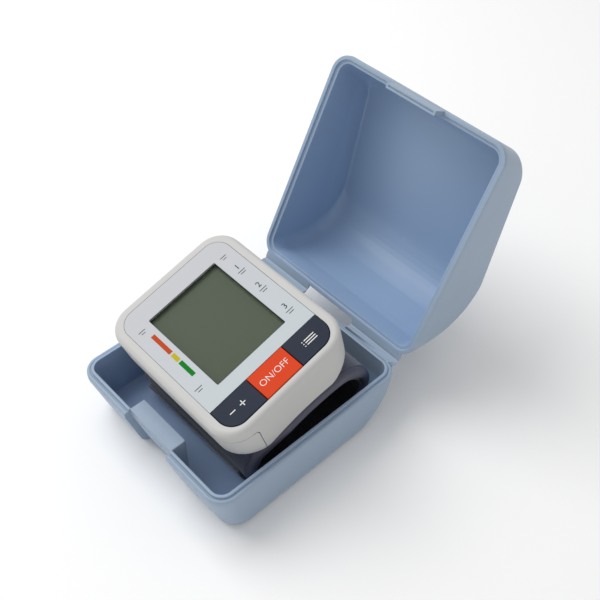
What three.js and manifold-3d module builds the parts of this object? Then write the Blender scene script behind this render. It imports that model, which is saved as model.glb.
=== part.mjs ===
// Wrist blood pressure monitor lying on its rolled cuff in an open, hinged storage case.
// Millimetres, +Z up. The origin is on the resting plane, below the middle of the case's opening.
// +X runs along the case hinge and +Y from the latch to the hinge.
import * as THREE from 'three';
import { mergeVertices } from 'three/addons/utils/BufferGeometryUtils.js';
import Module from 'manifold-3d';

const wasm = await Module();
wasm.setup();

const degrees = (angle) => THREE.MathUtils.degToRad(angle);

// Fits shared by all pieces
const fit = 0.3;
const overrun = 2;

// Storage case: opening, rim and walls
const openingWidth = 88;
const openingDepth = 94.5;
const rimThickness = 3.5;
const rimBand = 3;
const lipWidth = 1.4;
const lipHeight = 0.9;
const caseCorner = 8.5;
const baseDepth = 28.4;
const baseFloor = 2.2;
const baseFrontLean = degrees(15);
const baseBackLean = degrees(11);
const baseSideLean = degrees(2);
const baseFrontFillet = 7;
const baseBackFillet = 25;
const baseSideFillet = 4;
const lidHeight = 38.2;
const lidCrown = 1.8;
const lidSlope = degrees(14.9);
const lidFrontLean = degrees(9);
const lidBackLean = degrees(14);
const lidSideLean = degrees(4.5);
const lidFrontFillet = 10;
const lidBackFillet = 35;
const lidSideFillet = 3;

// Storage case: hinge leaves, living hinge and latch
const lidOpenAngle = degrees(117.6);
const hingeOffset = 2.4;
const hingeSpan = 87;
const hingeMiddleGap = 28.5;
const leafThickness = 1;
const filmRadius = 0.4;
const latchWidth = 28;
const latchLedgeDepth = 6.9;
const latchLedgeDrop = 20;
const latchLedgeCorner = 2;
const latchSlotDrop = 8;
const latchWall = 0.6;
const tabThickness = 2;
const tabReach = 6.5;
const tabRoot = 3;
const tabClearance = 0.7;
const tabSideGap = 0.7;
const snapHeight = 0.4;
const snapDrop = 3.4;
const snapLengthShare = 0.5;
const scoopWidth = 27;
const scoopDepth = 6.2;
const scoopRound = 11.6;
const scoopRise = 8.3;
const scoopSink = 12;

// Monitor: place in the case and housing
const monitorTilt = degrees(15.5);
const monitorFaceRise = 32.0;
const monitorShift = 7;
const housingWidth = 66.2;
const housingLength = 81;
const housingDepth = 26.5;
const housingCorner = 11.5;
const housingWall = 1.8;
const housingDraft = degrees(1.5);
const faceEdge = 2.2;
const faceWall = 2;
const sideFillet = 10;
const endFillet = 2.4;
const archRise = 3.6;
const archSpan = 50;
const rearWall = 2.2;

// Monitor: face panel, display and buttons
const panelWidth = 57.2;
const panelTopMargin = 3.9;
const panelThickness = 0.5;
const panelGlue = 0.1;
const panelCorner = 7.7;
const windowWidth = 36.9;
const windowLength = 44.8;
const windowCorner = 0.6;
const windowOffset = 4.8;
const lensThickness = 0.6;
const windowSetback = 0.6;
const lensOverlap = 1.5;
const cellThickness = 2;
const cellOverlap = 2;
const holderWall = 1.2;
const holderLedge = 1.5;
const connectorWidth = 2.2;
const connectorLengthShare = 0.85;
const buttonBottomMargin = 3;
const buttonLength = 13.3;
const buttonPlaces = [-1, 0, 1];
const buttonProud = 0.25;
const buttonTravel = 0.8;
const capThickness = 2.4;
const capFlange = 0.9;
const capFlangeThickness = 0.8;
const capFlangeInsetShare = 0.75;
const capStemRadius = 2;
const capStemLength = 2;
const domeRadius = 3;
const domeHeight = 1;
const membraneThickness = 0.8;

// Monitor: circuit board, pump, valve and sensor
const boardThickness = 1.2;
const boardMargin = 1.2;
const chipSize = 10;
const chipThickness = 1.2;
const buzzerRadius = 4.5;
const buzzerThickness = 2.6;
const sensorWidth = 9;
const sensorLength = 8;
const sensorThickness = 3.5;
const sensorPortRadius = 1.3;
const sensorPortLength = 2.5;
const motorRadius = 5.5;
const motorLength = 20;
const pumpHeadWidth = 12;
const pumpHeadLength = 12.5;
const pumpHeadThickness = 11;
const nippleRadius = 1.6;
const nippleLength = 3;
const pumpOffset = 12;
const valveRadius = 4.2;
const valveLength = 12;
const valveGap = 1.2;
const tubeRadius = 1.9;
const tubeStraight = 3.2;
const nozzleRadius = 2.1;
const nozzleHead = 3;

// Monitor: batteries and their door
const batteryRadius = 5.25;
const batteryLength = 44.5;
const batteryGap = 0.4;
const terminalRadius = 1.9;
const terminalLength = 0.8;
const batteryHolderWall = 0.8;
const holderCornerShare = 0.18;
const springLength = 3.6;
const springRadius = 2.8;
const springWire = 0.5;
const springTurns = 4;
const springTaperShare = 0.35;
const contactThickness = 0.5;
const contactHeight = 7;
const doorWidth = 13.6;
const doorTop = 6.8;
const doorCorner = 3;

// Monitor: housing screws
const screwShankRadius = 0.8;
const screwLength = 7;
const screwHeadRadius = 1.9;
const screwHeadHeight = 0.8;
const bossRadius = 2.4;
const bossOffset = 15;

// Cuff and strap
const cuffWidth = 70;
const cuffShift = 2;
const clipThickness = 1.2;
const clipWidth = 32;
const clipLength = 60;
const coverThickness = 1.2;
const stiffenerThickness = 0.8;
const bladderThickness = 2;
const linerThickness = 1.2;
const strapThickness = 1.3;
const cuffFrontRoom = 19.25;
const cuffBackRoom = 4.25;
const cuffTopSpanShare = 0.72;
const cuffHem = 3;

// Cuff's rolled outline and its inner layers. A bend is a share of the reach outward and a share
// of the way up from the floor to the arch; a start and an end are shares of the way round.
const cuffBackBendShares = [[0.83, 0.84], [1, 0.47], [0.85, 0.13], [0.55, 0]];
const cuffFrontBendShares = [[0.55, 0], [0.87, 0.15], [1, 0.5]];
const stiffenerSpanShares = [-0.06, 0.5];
const bladderSpanShares = [-0.04, 0.46];
const strapSpanShares = [0.5, 0.93];

// Facet counts
const cornerSteps = 7;
const filletSteps = 7;
const roundSteps = 4;
const archSteps = 14;
const cuffSteps = 56;
const cuffTopSteps = 4;
const turnedSteps = 20;
const smallSteps = 12;
const tubeSteps = 22;
const wireSides = 6;
const springStepsPerTurn = 10;

// Solids

function toSolid(geometry) {
  const bare = geometry.clone();
  bare.deleteAttribute('normal');
  bare.deleteAttribute('uv');
  const merged = mergeVertices(bare);
  const mesh = new wasm.Mesh({
    numProp: 3,
    vertProperties: new Float32Array(merged.attributes.position.array),
    triVerts: new Uint32Array(merged.index.array),
  });
  return new wasm.Manifold(mesh);
}

function toGeometry(solid) {
  const mesh = solid.getMesh();
  const geometry = new THREE.BufferGeometry();
  geometry.setAttribute('position', new THREE.BufferAttribute(new Float32Array(mesh.vertProperties), 3));
  geometry.setIndex(new THREE.BufferAttribute(new Uint32Array(mesh.triVerts), 1));
  return geometry;
}

// A closed skin over a stack of rings, each counter-clockwise from above, lowest first.
function loft(rings) {
  const count = rings[0].length;
  const points = rings.flat();
  const faces = [];
  for (let level = 0; level + 1 < rings.length; level += 1) {
    for (let step = 0; step < count; step += 1) {
      const next = (step + 1) % count;
      const low = level * count;
      const high = low + count;
      faces.push(low + step, low + next, high + next);
      faces.push(low + step, high + next, high + step);
    }
  }
  const middleOf = (ring) => ring.reduce((sum, p) => sum.add(p), new THREE.Vector3()).divideScalar(count);
  const bottomMiddle = points.push(middleOf(rings[0])) - 1;
  const topMiddle = points.push(middleOf(rings[rings.length - 1])) - 1;
  const topStart = (rings.length - 1) * count;
  for (let step = 0; step < count; step += 1) {
    const next = (step + 1) % count;
    faces.push(bottomMiddle, next, step);
    faces.push(topMiddle, topStart + step, topStart + next);
  }
  const geometry = new THREE.BufferGeometry().setFromPoints(points);
  geometry.setIndex(faces);
  return toSolid(geometry);
}

// A rounded rectangle at one height, its corners with equal steps.
function roundedRing({ halfWidth, front, back, corner, height }) {
  const radius = Math.min(corner, halfWidth, (front + back) / 2);
  const centres = [
    [halfWidth - radius, back - radius, 0],
    [radius - halfWidth, back - radius, Math.PI / 2],
    [radius - halfWidth, radius - front, Math.PI],
    [halfWidth - radius, radius - front, -Math.PI / 2],
  ];
  return centres.flatMap(([x, y, start]) => Array.from({ length: cornerSteps + 1 }, (_, step) => {
    const angle = start + (step / cornerSteps) * (Math.PI / 2);
    return new THREE.Vector3(x + radius * Math.cos(angle), y + radius * Math.sin(angle), height);
  }));
}

// How far a leaning wall with a floor fillet stands from the middle, at a height over the floor.
function wallReach(height, { reach, lean, fillet, top }) {
  const round = Math.min(fillet, top);
  if (height < round * (1 - Math.sin(lean))) {
    const centre = reach - (round + (top - round) * Math.sin(lean)) / Math.cos(lean);
    return centre + Math.sqrt(round ** 2 - (round - height) ** 2);
  }
  return reach - Math.max(top - height, 0) * Math.tan(lean);
}

// The rings of a tray shape: floor, filleted leaning walls, then an upright band to the rim.
function trayRings({ floor, rim, band, halfWidth, halfDepth, side, front, back, corner }) {
  const top = rim - band - floor;
  const steepest = Math.max(side.fillet, front.fillet, back.fillet);
  const round = Math.min(steepest, top);
  const heights = [];
  for (let step = 0; step <= filletSteps; step += 1) {
    heights.push(round * (1 - Math.cos((step / filletSteps) * (Math.PI / 2 - back.lean))));
  }
  heights.push(top, top + band);
  return heights.map((height) => roundedRing({
    halfWidth: wallReach(height, { reach: halfWidth, top, ...side }),
    front: wallReach(height, { reach: halfDepth, top, ...front }),
    back: wallReach(height, { reach: halfDepth, top, ...back }),
    corner,
    height: floor + height,
  }));
}

function box(left, right, front, back, low, high) {
  const geometry = new THREE.BoxGeometry(right - left, back - front, high - low);
  geometry.translate((left + right) / 2, (front + back) / 2, (low + high) / 2);
  return toSolid(geometry);
}

function prism(shape, low, high) {
  const geometry = new THREE.ExtrudeGeometry(shape, {
    depth: high - low,
    bevelEnabled: false,
    curveSegments: cornerSteps,
  });
  geometry.translate(0, 0, low);
  return toSolid(geometry);
}

// A prism whose shape lies in the upright plane across X, running along X.
function prismAlongX(shape, left, right) {
  const geometry = new THREE.ExtrudeGeometry(shape, {
    depth: right - left,
    bevelEnabled: false,
    curveSegments: cornerSteps,
  });
  geometry.translate(0, 0, left);
  geometry.applyMatrix4(new THREE.Matrix4().makeBasis(
    new THREE.Vector3(0, 1, 0),
    new THREE.Vector3(0, 0, 1),
    new THREE.Vector3(1, 0, 0),
  ));
  return toSolid(geometry);
}

// A prism whose shape lies in the upright plane across Y, running along Y.
function prismAlongY(shape, front, back) {
  const geometry = new THREE.ExtrudeGeometry(shape, {
    depth: back - front,
    bevelEnabled: false,
    curveSegments: cornerSteps,
  });
  geometry.translate(0, 0, -back);
  geometry.applyMatrix4(new THREE.Matrix4().makeBasis(
    new THREE.Vector3(1, 0, 0),
    new THREE.Vector3(0, 0, 1),
    new THREE.Vector3(0, -1, 0),
  ));
  return toSolid(geometry);
}

// A rectangle with its own radius at each corner: lower left, lower right, upper right, upper left.
function rectangle(left, right, low, high, radii = [0, 0, 0, 0]) {
  const [lowerLeft, lowerRight, upperRight, upperLeft] = radii;
  const shape = new THREE.Shape();
  shape.moveTo(left + lowerLeft, low);
  shape.lineTo(right - lowerRight, low);
  if (lowerRight > 0) {
    shape.absarc(right - lowerRight, low + lowerRight, lowerRight, -Math.PI / 2, 0);
  }
  shape.lineTo(right, high - upperRight);
  if (upperRight > 0) {
    shape.absarc(right - upperRight, high - upperRight, upperRight, 0, Math.PI / 2);
  }
  shape.lineTo(left + upperLeft, high);
  if (upperLeft > 0) {
    shape.absarc(left + upperLeft, high - upperLeft, upperLeft, Math.PI / 2, Math.PI);
  }
  shape.lineTo(left, low + lowerLeft);
  if (lowerLeft > 0) {
    shape.absarc(left + lowerLeft, low + lowerLeft, lowerLeft, Math.PI, Math.PI * 1.5);
  }
  return shape;
}

function polygon(points) {
  return new THREE.Shape(points.map(([x, y]) => new THREE.Vector2(x, y)));
}

// A turned piece from radius and height pairs, standing on Z.
function turned(profile, steps = turnedSteps) {
  const geometry = new THREE.LatheGeometry(profile.map(([r, h]) => new THREE.Vector2(r, h)), steps);
  geometry.rotateX(Math.PI / 2);
  return toSolid(geometry);
}

function rod(radius, low, high, steps = turnedSteps) {
  return turned([[0, low], [radius, low], [radius, high], [0, high]], steps);
}

// Turns that lay an upright piece along Y
const towardsFront = [90, 0, 0];
const towardsBack = [-90, 0, 0];

// Placing pieces

const materials = {
  case: { color: 0x9fb3c6, roughness: 0.42 },
  housing: { color: 0xe2e1dd, roughness: 0.45 },
  panel: { color: 0xd3dade, roughness: 0.35 },
  lens: { color: 0xdfe6e0, roughness: 0.08 },
  cell: { color: 0x66715c, roughness: 0.3 },
  darkButton: { color: 0x3b404c, roughness: 0.5 },
  redButton: { color: 0xd6461d, roughness: 0.45 },
  rubber: { color: 0xb9b9b4, roughness: 0.8 },
  board: { color: 0x2f6b46, roughness: 0.5 },
  chip: { color: 0x1d1d20, roughness: 0.6 },
  metal: { color: 0xc4c6c8, roughness: 0.3, metalness: 1 },
  blackPlastic: { color: 0x26272b, roughness: 0.6 },
  battery: { color: 0x3f5a8a, roughness: 0.35 },
  fabric: { color: 0x3a3f4b, roughness: 0.95 },
  lining: { color: 0x15161a, roughness: 0.95 },
  bladder: { color: 0x59606b, roughness: 0.7 },
};

function named(name, solid, material) {
  const mesh = new THREE.Mesh(toGeometry(solid), new THREE.MeshStandardMaterial(materials[material]));
  mesh.name = name;
  return mesh;
}

// Case base

const outerHalfWidth = openingWidth / 2 + rimThickness;
const outerHalfDepth = openingDepth / 2 + rimThickness;
const partingGap = fit;
const baseRim = baseDepth - partingGap / 2;
const hingeBack = outerHalfDepth + hingeOffset;
const leafEnd = hingeBack - filmRadius - fit;
const recessFace = -(openingDepth / 2 + latchWall);
const recessLean = (latchSlotDrop - rimBand) * Math.tan(baseFrontLean);

function hingeLeaves(low, high) {
  const web = (side) => {
    const edges = [side * hingeMiddleGap / 2, side * hingeSpan / 2].sort((a, b) => a - b);
    return box(edges[0], edges[1], outerHalfDepth - rimThickness / 2, leafEnd, low, high);
  };
  return web(1).add(web(-1));
}

function makeCaseBase() {
  const outer = trayRings({
    floor: 0,
    rim: baseRim,
    band: rimBand,
    halfWidth: outerHalfWidth,
    halfDepth: outerHalfDepth,
    side: { lean: baseSideLean, fillet: baseSideFillet },
    front: { lean: baseFrontLean, fillet: baseFrontFillet },
    back: { lean: baseBackLean, fillet: baseBackFillet },
    corner: caseCorner,
  });
  const shoulder = rimThickness - lipWidth;
  for (const height of [baseRim, baseRim + lipHeight]) {
    outer.push(roundedRing({
      halfWidth: outerHalfWidth - shoulder,
      front: outerHalfDepth - shoulder,
      back: outerHalfDepth - shoulder,
      corner: caseCorner - shoulder,
      height,
    }));
  }
  const innerRound = (fillet) => Math.max(fillet - rimThickness, fit);
  const inner = trayRings({
    floor: baseFloor,
    rim: baseRim,
    band: rimBand,
    halfWidth: openingWidth / 2,
    halfDepth: openingDepth / 2,
    side: { lean: baseSideLean / 2, fillet: innerRound(baseSideFillet) },
    front: { lean: baseFrontLean, fillet: innerRound(baseFrontFillet) },
    back: { lean: baseBackLean / 2, fillet: innerRound(baseBackFillet) },
    corner: caseCorner - rimThickness,
  });
  inner.push(inner[inner.length - 1].map((p) => p.clone().setZ(baseRim + lipHeight + overrun)));
  const innerFront = -openingDepth / 2;
  const ledgeShape = rectangle(
    -latchWidth / 2,
    latchWidth / 2,
    innerFront - rimThickness / 2,
    innerFront + latchLedgeDepth,
    [0, 0, latchLedgeCorner, latchLedgeCorner],
  );
  const ledge = prism(ledgeShape, baseRim - latchLedgeDrop, baseRim + lipHeight)
    .intersect(loft(outer));
  const slot = prismAlongX(polygon([
    [-outerHalfDepth - overrun, baseRim - latchSlotDrop],
    [recessFace + recessLean, baseRim - latchSlotDrop],
    [recessFace, baseRim - rimBand],
    [recessFace, baseRim + lipHeight + overrun],
    [-outerHalfDepth - overrun, baseRim + lipHeight + overrun],
  ]), -latchWidth / 2, latchWidth / 2);
  const scoopShape = new THREE.SphereGeometry(1, turnedSteps, smallSteps);
  const scoopReach = outerHalfDepth - (scoopSink - rimBand) * Math.tan(baseFrontLean) - scoopDepth;
  scoopShape.scale(scoopWidth / 2, scoopRound, scoopRise);
  scoopShape.translate(0, -scoopReach - scoopRound, baseRim - scoopSink);
  const ridgeHalf = (latchWidth / 2) * snapLengthShare;
  const ridge = prismAlongX(polygon([
    [recessFace + recessLean, baseRim - snapDrop - snapHeight],
    [recessFace + recessLean, baseRim - snapDrop + snapHeight],
    [recessFace, baseRim - snapDrop + snapHeight],
    [recessFace - snapHeight, baseRim - snapDrop],
    [recessFace, baseRim - snapDrop - snapHeight],
  ].reverse()), -ridgeHalf, ridgeHalf);
  const leaves = hingeLeaves(baseRim - leafThickness, baseRim).subtract(loft(inner));
  return loft(outer)
    .subtract(loft(inner))
    .add(ledge)
    .subtract(slot)
    .subtract(toSolid(scoopShape))
    .add(ridge)
    .add(leaves);
}

// Case lid, drawn closed with the parting plane at height zero

const lidLift = partingGap / 2;

function lidBlock({ floor, wall, overshoot }) {
  const innerRound = (fillet) => Math.max(fillet - wall, fit);
  const rings = trayRings({
    floor,
    rim: lidHeight,
    band: rimBand,
    halfWidth: outerHalfWidth - wall,
    halfDepth: outerHalfDepth - wall,
    side: { lean: lidSideLean, fillet: innerRound(lidSideFillet) },
    front: { lean: lidFrontLean, fillet: innerRound(lidFrontFillet) },
    back: { lean: lidBackLean, fillet: innerRound(lidBackFillet) },
    corner: caseCorner - wall,
  });
  if (overshoot > 0) {
    rings.push(rings[rings.length - 1].map((p) => p.clone().setZ(lidHeight + overshoot)));
  }
  const slopeAt = (y) => 1 + (Math.tan(lidSlope) * y) / lidHeight;
  return loft(rings.map((ring) => ring.map((p) => new THREE.Vector3(
    -p.x,
    p.y,
    lidLift + (lidHeight - p.z) * slopeAt(p.y),
  ))));
}

function makeCaseLid() {
  const lidWall = rimThickness - lipWidth - fit;
  const cavity = lidBlock({ floor: lidCrown, wall: lidWall, overshoot: overrun });
  const rebate = lidLift + lipHeight + fit;
  const mouth = loft([-overrun, lidHeight * 2].map((height) => roundedRing({
    halfWidth: openingWidth / 2,
    front: openingDepth / 2,
    back: openingDepth / 2,
    corner: caseCorner - rimThickness,
    height,
  })));
  const rebateRoom = box(
    -outerHalfWidth,
    outerHalfWidth,
    -outerHalfDepth,
    outerHalfDepth,
    -overrun,
    rebate,
  );
  const shell = lidBlock({ floor: 0, wall: 0, overshoot: 0 })
    .subtract(cavity.intersect(mouth.add(rebateRoom)));
  const tabInner = recessFace - tabClearance;
  const tabOuter = tabInner - tabThickness;
  const tabHalf = latchWidth / 2 - tabSideGap;
  const tab = prismAlongX(polygon([
    [tabOuter, lidLift + tabRoot],
    [tabOuter, lidLift - tabReach],
    [tabInner, lidLift - tabReach],
    [tabInner + snapHeight, lidLift - tabReach + snapHeight],
    [tabInner, lidLift - tabReach + snapHeight * 2],
    [tabInner, lidLift + tabRoot],
  ]), -tabHalf, tabHalf);
  const leaves = hingeLeaves(lidLift, lidLift + leafThickness)
    .subtract(cavity);
  return shell.add(tab).add(leaves);
}

// Housing of the monitor, drawn with its face centre at the origin and the display looking up

const halfWidth = housingWidth / 2;
const halfLength = housingLength / 2;
const archRadius = (archSpan ** 2 / 4 + archRise ** 2) / (2 * archRise);
const archCentre = -housingDepth + archRise - archRadius;
const wellLow = buttonBottomMargin - halfLength;
const wellHigh = wellLow + buttonLength;
const plateHalfWidth = halfWidth - sideFillet;
const wallInnerEnd = halfLength - housingWall;
const draftDrawIn = housingDepth * Math.tan(housingDraft);
const plateEnd = wallInnerEnd - draftDrawIn - Math.max(endFillet - housingWall, fit);

// A height clear below the housing, for cuts that run right through
const wellBelow = -2 * housingDepth;

function archHeight(x, offset) {
  const radius = archRadius + offset;
  return archCentre + Math.sqrt(radius ** 2 - x ** 2);
}

// Everything below the arch surface that lies the given offset above the underside.
function belowArch(offset) {
  const reach = halfWidth + overrun;
  const points = [];
  for (let step = 0; step <= archSteps; step += 1) {
    const x = reach - (step / archSteps) * 2 * reach;
    points.push([x, archHeight(x, offset)]);
  }
  points.push([-reach, wellBelow], [reach, wellBelow]);
  return prismAlongY(polygon(points), -halfLength - overrun, halfLength + overrun);
}

function housingBlock(inset, top, bottom) {
  const rings = trayRings({
    floor: bottom,
    rim: top - (inset > 0 ? 0 : faceEdge),
    band: 0,
    halfWidth: halfWidth - inset,
    halfDepth: halfLength - inset,
    side: { lean: housingDraft, fillet: Math.max(sideFillet - inset, fit) },
    front: { lean: housingDraft, fillet: Math.max(endFillet - inset, fit) },
    back: { lean: housingDraft, fillet: Math.max(endFillet - inset, fit) },
    corner: Math.max(housingCorner - inset, fit),
  });
  rings.splice(rings.length - 1, 1);
  if (inset > 0) {
    return loft(rings);
  }
  for (let step = 1; step <= roundSteps; step += 1) {
    const angle = (step / roundSteps) * (Math.PI / 2);
    const draw = faceEdge * (1 - Math.cos(angle));
    rings.push(roundedRing({
      halfWidth: halfWidth - draw,
      front: halfLength - draw,
      back: halfLength - draw,
      corner: housingCorner - draw,
      height: top - faceEdge * (1 - Math.sin(angle)),
    }));
  }
  return loft(rings);
}

const housingShell = housingBlock(0, 0, -housingDepth)
  .subtract(belowArch(0))
  .subtract(housingBlock(housingWall, -faceWall, rearWall - housingDepth).subtract(belowArch(rearWall)));

// Where the batteries lie: along the left wall, over the rear plate and clear of the rounded corner
const batteryPitch = batteryRadius * 2 + batteryGap;
const batteryLeft = -halfWidth + housingWall + draftDrawIn + fit + batteryRadius;
const batteryPlaces = [batteryLeft, batteryLeft + batteryPitch];
const batteryHeight = archHeight(batteryPlaces[1] + batteryRadius / 2, rearWall) + fit + batteryRadius;
const holderFront = -plateEnd + housingCorner * holderCornerShare;
const cellFront = holderFront + batteryHolderWall + fit;
const batteryFront = cellFront + springLength + fit;
const batteryBack = batteryFront + batteryLength;
const contactFront = batteryBack + terminalLength + fit;
const holderBack = contactFront + contactThickness + fit;
const holderRoofLow = batteryHeight + batteryRadius + fit;
const holderRoofHigh = holderRoofLow + batteryHolderWall;
const boardLow = holderRoofHigh + fit;
const boardTop = boardLow + boardThickness;

// The door wraps the left wall, the lower end wall and the underside; it is grown or shrunk by a gap.
const doorRight = doorWidth - halfWidth;
const doorBack = holderBack + batteryHolderWall + fit;

function doorRegion(gap) {
  const left = -halfWidth - overrun;
  const right = doorRight + gap;
  const low = -housingDepth - overrun;
  const high = -doorTop + gap;
  const face = rectangle(left, right, low, high, [0, 0, doorCorner, 0]);
  return prismAlongY(face, -halfLength - overrun, doorBack + gap);
}

function plateRegion(gap) {
  const half = plateHalfWidth + gap;
  const end = plateEnd + gap;
  const region = box(-half, half, -end, end, -housingDepth - overrun, archHeight(0, rearWall) + fit);
  return region.subtract(doorRegion(fit - gap));
}

// Screws at the end walls, two at each end
const bossEnd = plateEnd - bossRadius;
const screwPlaces = [
  [-bossOffset, bossEnd],
  [bossOffset, bossEnd],
  [bossOffset, -bossEnd],
  [batteryPlaces[1] + batteryRadius + fit + bossRadius, -bossEnd],
];
const holeRadius = screwShankRadius + fit;
const headSeat = (x) => archHeight(x, 0) + screwHeadHeight + fit;

function makeFrontHousing() {
  const panelLeft = -panelWidth / 2;
  const recessBack = halfLength - panelTopMargin;
  const panelRecess = prism(
    rectangle(panelLeft, -panelLeft, wellHigh - fit, recessBack, [0, 0, panelCorner, panelCorner]),
    -panelThickness - panelGlue,
    overrun,
  );
  const well = prism(
    rectangle(panelLeft, -panelLeft, wellLow, wellHigh, [panelCorner, panelCorner, 0, 0]),
    -faceWall - overrun,
    overrun,
  );
  const windowCut = prism(windowShape(windowSetback), -faceWall - overrun, overrun);
  const lensPocket = prism(windowShape(lensOverlap + fit), lensPocketLow, overrun);
  let housing = housingShell.subtract(plateRegion(fit / 2)).subtract(doorRegion(fit / 2));
  const high = boardLow - fit;
  const clearOfPlate = belowArch(rearWall + fit);
  for (const [x, y] of screwPlaces) {
    const wallSide = Math.sign(y) * (wallInnerEnd + housingWall / 2);
    const low = archHeight(x, 0);
    const post = rod(bossRadius, low, high, smallSteps).translate([x, y, 0]);
    const ends = [y, wallSide].sort((a, b) => a - b);
    const web = box(x - bossRadius / 2, x + bossRadius / 2, ...ends, low, high);
    const hole = rod(holeRadius, low, low + rearWall + screwLength, smallSteps).translate([x, y, 0]);
    housing = housing.add(post.add(web).subtract(clearOfPlate)).subtract(hole);
  }
  return housing.subtract(panelRecess).subtract(well).subtract(windowCut).subtract(lensPocket);
}

function makeRearHousing() {
  let plate = housingShell.intersect(plateRegion(-fit / 2));
  for (const [x, y] of screwPlaces) {
    const hole = rod(holeRadius, -housingDepth - overrun, -housingDepth / 2, smallSteps);
    const seat = rod(screwHeadRadius + fit, -housingDepth - overrun, headSeat(x), smallSteps);
    plate = plate.subtract(hole.add(seat).translate([x, y, 0]));
  }
  const port = rod(nozzleRadius + fit, -housingDepth - overrun, -housingDepth / 2, smallSteps);
  return plate.subtract(port.translate([nozzlePlace.x, nozzlePlace.y, 0]));
}

function makeBatteryCover() {
  return housingShell.intersect(doorRegion(-fit / 2));
}

function windowShape(grow) {
  const side = windowWidth / 2 + grow;
  const low = windowOffset - windowLength / 2 - grow;
  const high = windowOffset + windowLength / 2 + grow;
  const corner = windowCorner;
  return rectangle(-side, side, low, high, [corner, corner, corner, corner]);
}

function makeFacePanel() {
  const edge = panelWidth / 2 - fit / 2;
  const corner = panelCorner - fit / 2;
  const shape = rectangle(
    -edge,
    edge,
    wellHigh,
    halfLength - panelTopMargin - fit / 2,
    [0, 0, corner, corner],
  );
  const window = prism(windowShape(0), -panelThickness - overrun, overrun);
  return prism(shape, -panelThickness, 0).subtract(window);
}

// Display stack: the lens lies under the panel in a pocket of the housing, the cell under the face wall
const lensTop = -panelThickness - fit;
const lensPocketLow = lensTop - lensThickness - panelGlue;
const cellTop = -faceWall - fit;
const cellLow = cellTop - cellThickness;

function makeHolder() {
  const pocket = prism(windowShape(cellOverlap + fit), cellLow - fit, cellTop + overrun);
  const opening = prism(windowShape(cellOverlap - holderLedge), boardTop - overrun, cellTop + overrun);
  return prism(windowShape(cellOverlap + fit + holderWall), boardTop + fit, cellTop)
    .subtract(pocket)
    .subtract(opening);
}

function makeConnector() {
  const reach = (windowWidth / 2) * connectorLengthShare;
  const back = windowOffset + windowLength / 2 + cellOverlap - holderLedge - fit;
  return box(-reach, reach, back - connectorWidth, back, boardTop + fit, cellLow - fit);
}

// Buttons in one row, with equal caps and a gap between them
const buttonRow = panelWidth - 2 * fit;
const capWidth = (buttonRow + fit) / buttonPlaces.length - fit;
const capLow = wellLow + fit;
const capHigh = wellHigh - fit;
const capMiddle = (capLow + capHigh) / 2;
const capBottom = buttonProud - capThickness;
const flangeTop = Math.min(-faceWall - fit, capBottom + capFlangeThickness);
const flangeLow = flangeTop - capFlangeThickness;
const stemLow = flangeLow - capStemLength;
const domeTop = stemLow - buttonTravel - fit;
const capPitch = capWidth + fit;

function makeButton(place) {
  const middle = place * capPitch;
  const left = middle - capWidth / 2;
  const right = middle + capWidth / 2;
  const corner = panelCorner - fit;
  const radii = [place < 0 ? corner : 0, place > 0 ? corner : 0, 0, 0];
  const cap = prism(rectangle(left, right, capLow, capHigh, radii), flangeLow, buttonProud);
  const flangeInset = corner * capFlangeInsetShare;
  const flange = box(
    place < 0 ? left + flangeInset : left,
    place > 0 ? right - flangeInset : right,
    capLow - capFlange,
    capHigh + capFlange,
    flangeLow,
    flangeTop,
  );
  const stem = rod(capStemRadius, stemLow, flangeLow + fit, smallSteps).translate([middle, capMiddle, 0]);
  return cap.add(flange).add(stem);
}

function makeMembrane() {
  const low = boardTop + fit;
  const top = Math.max(low + membraneThickness, domeTop - domeHeight);
  const edge = buttonRow / 2 - panelCorner / 2;
  let membrane = box(-edge, edge, capLow, capHigh, low, top);
  for (const place of buttonPlaces) {
    const dome = turned([
      [0, top - fit],
      [domeRadius, top - fit],
      [domeRadius, top],
      [capStemRadius, domeTop],
      [0, domeTop],
    ], smallSteps);
    membrane = membrane.add(dome.translate([place * capPitch, capMiddle, 0]));
  }
  return membrane;
}

// Board, electronics and air path
const boardEdge = housingWall + boardMargin;

function makeBoard() {
  const side = halfWidth - boardEdge;
  const end = halfLength - boardEdge;
  const corner = housingCorner - boardEdge;
  return prism(rectangle(-side, side, -end, end, [corner, corner, corner, corner]), boardLow, boardTop);
}

const underBoard = boardLow - fit;
const pumpHeight = underBoard - motorRadius - fit;
const pumpFront = -halfLength / 2;
const headBack = pumpFront + pumpHeadLength;
const nozzlePlace = new THREE.Vector3(0, pumpFront, 0);
const tubeStart = pumpFront - nippleLength - fit;
const tubeEnd = nozzlePlace.y - nozzleHead - fit;

function makeMotor() {
  return rod(motorRadius, 0, motorLength).rotate(towardsFront)
    .translate([pumpOffset, headBack + fit + motorLength, pumpHeight]);
}

function makePumpHead() {
  const head = box(
    pumpOffset - pumpHeadWidth / 2,
    pumpOffset + pumpHeadWidth / 2,
    pumpFront,
    headBack,
    pumpHeight - pumpHeadThickness / 2,
    pumpHeight + pumpHeadThickness / 2,
  );
  const nipple = rod(nippleRadius, 0, nippleLength + fit, smallSteps).rotate(towardsFront)
    .translate([pumpOffset, pumpFront + fit, pumpHeight]);
  return head.add(nipple);
}

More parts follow.
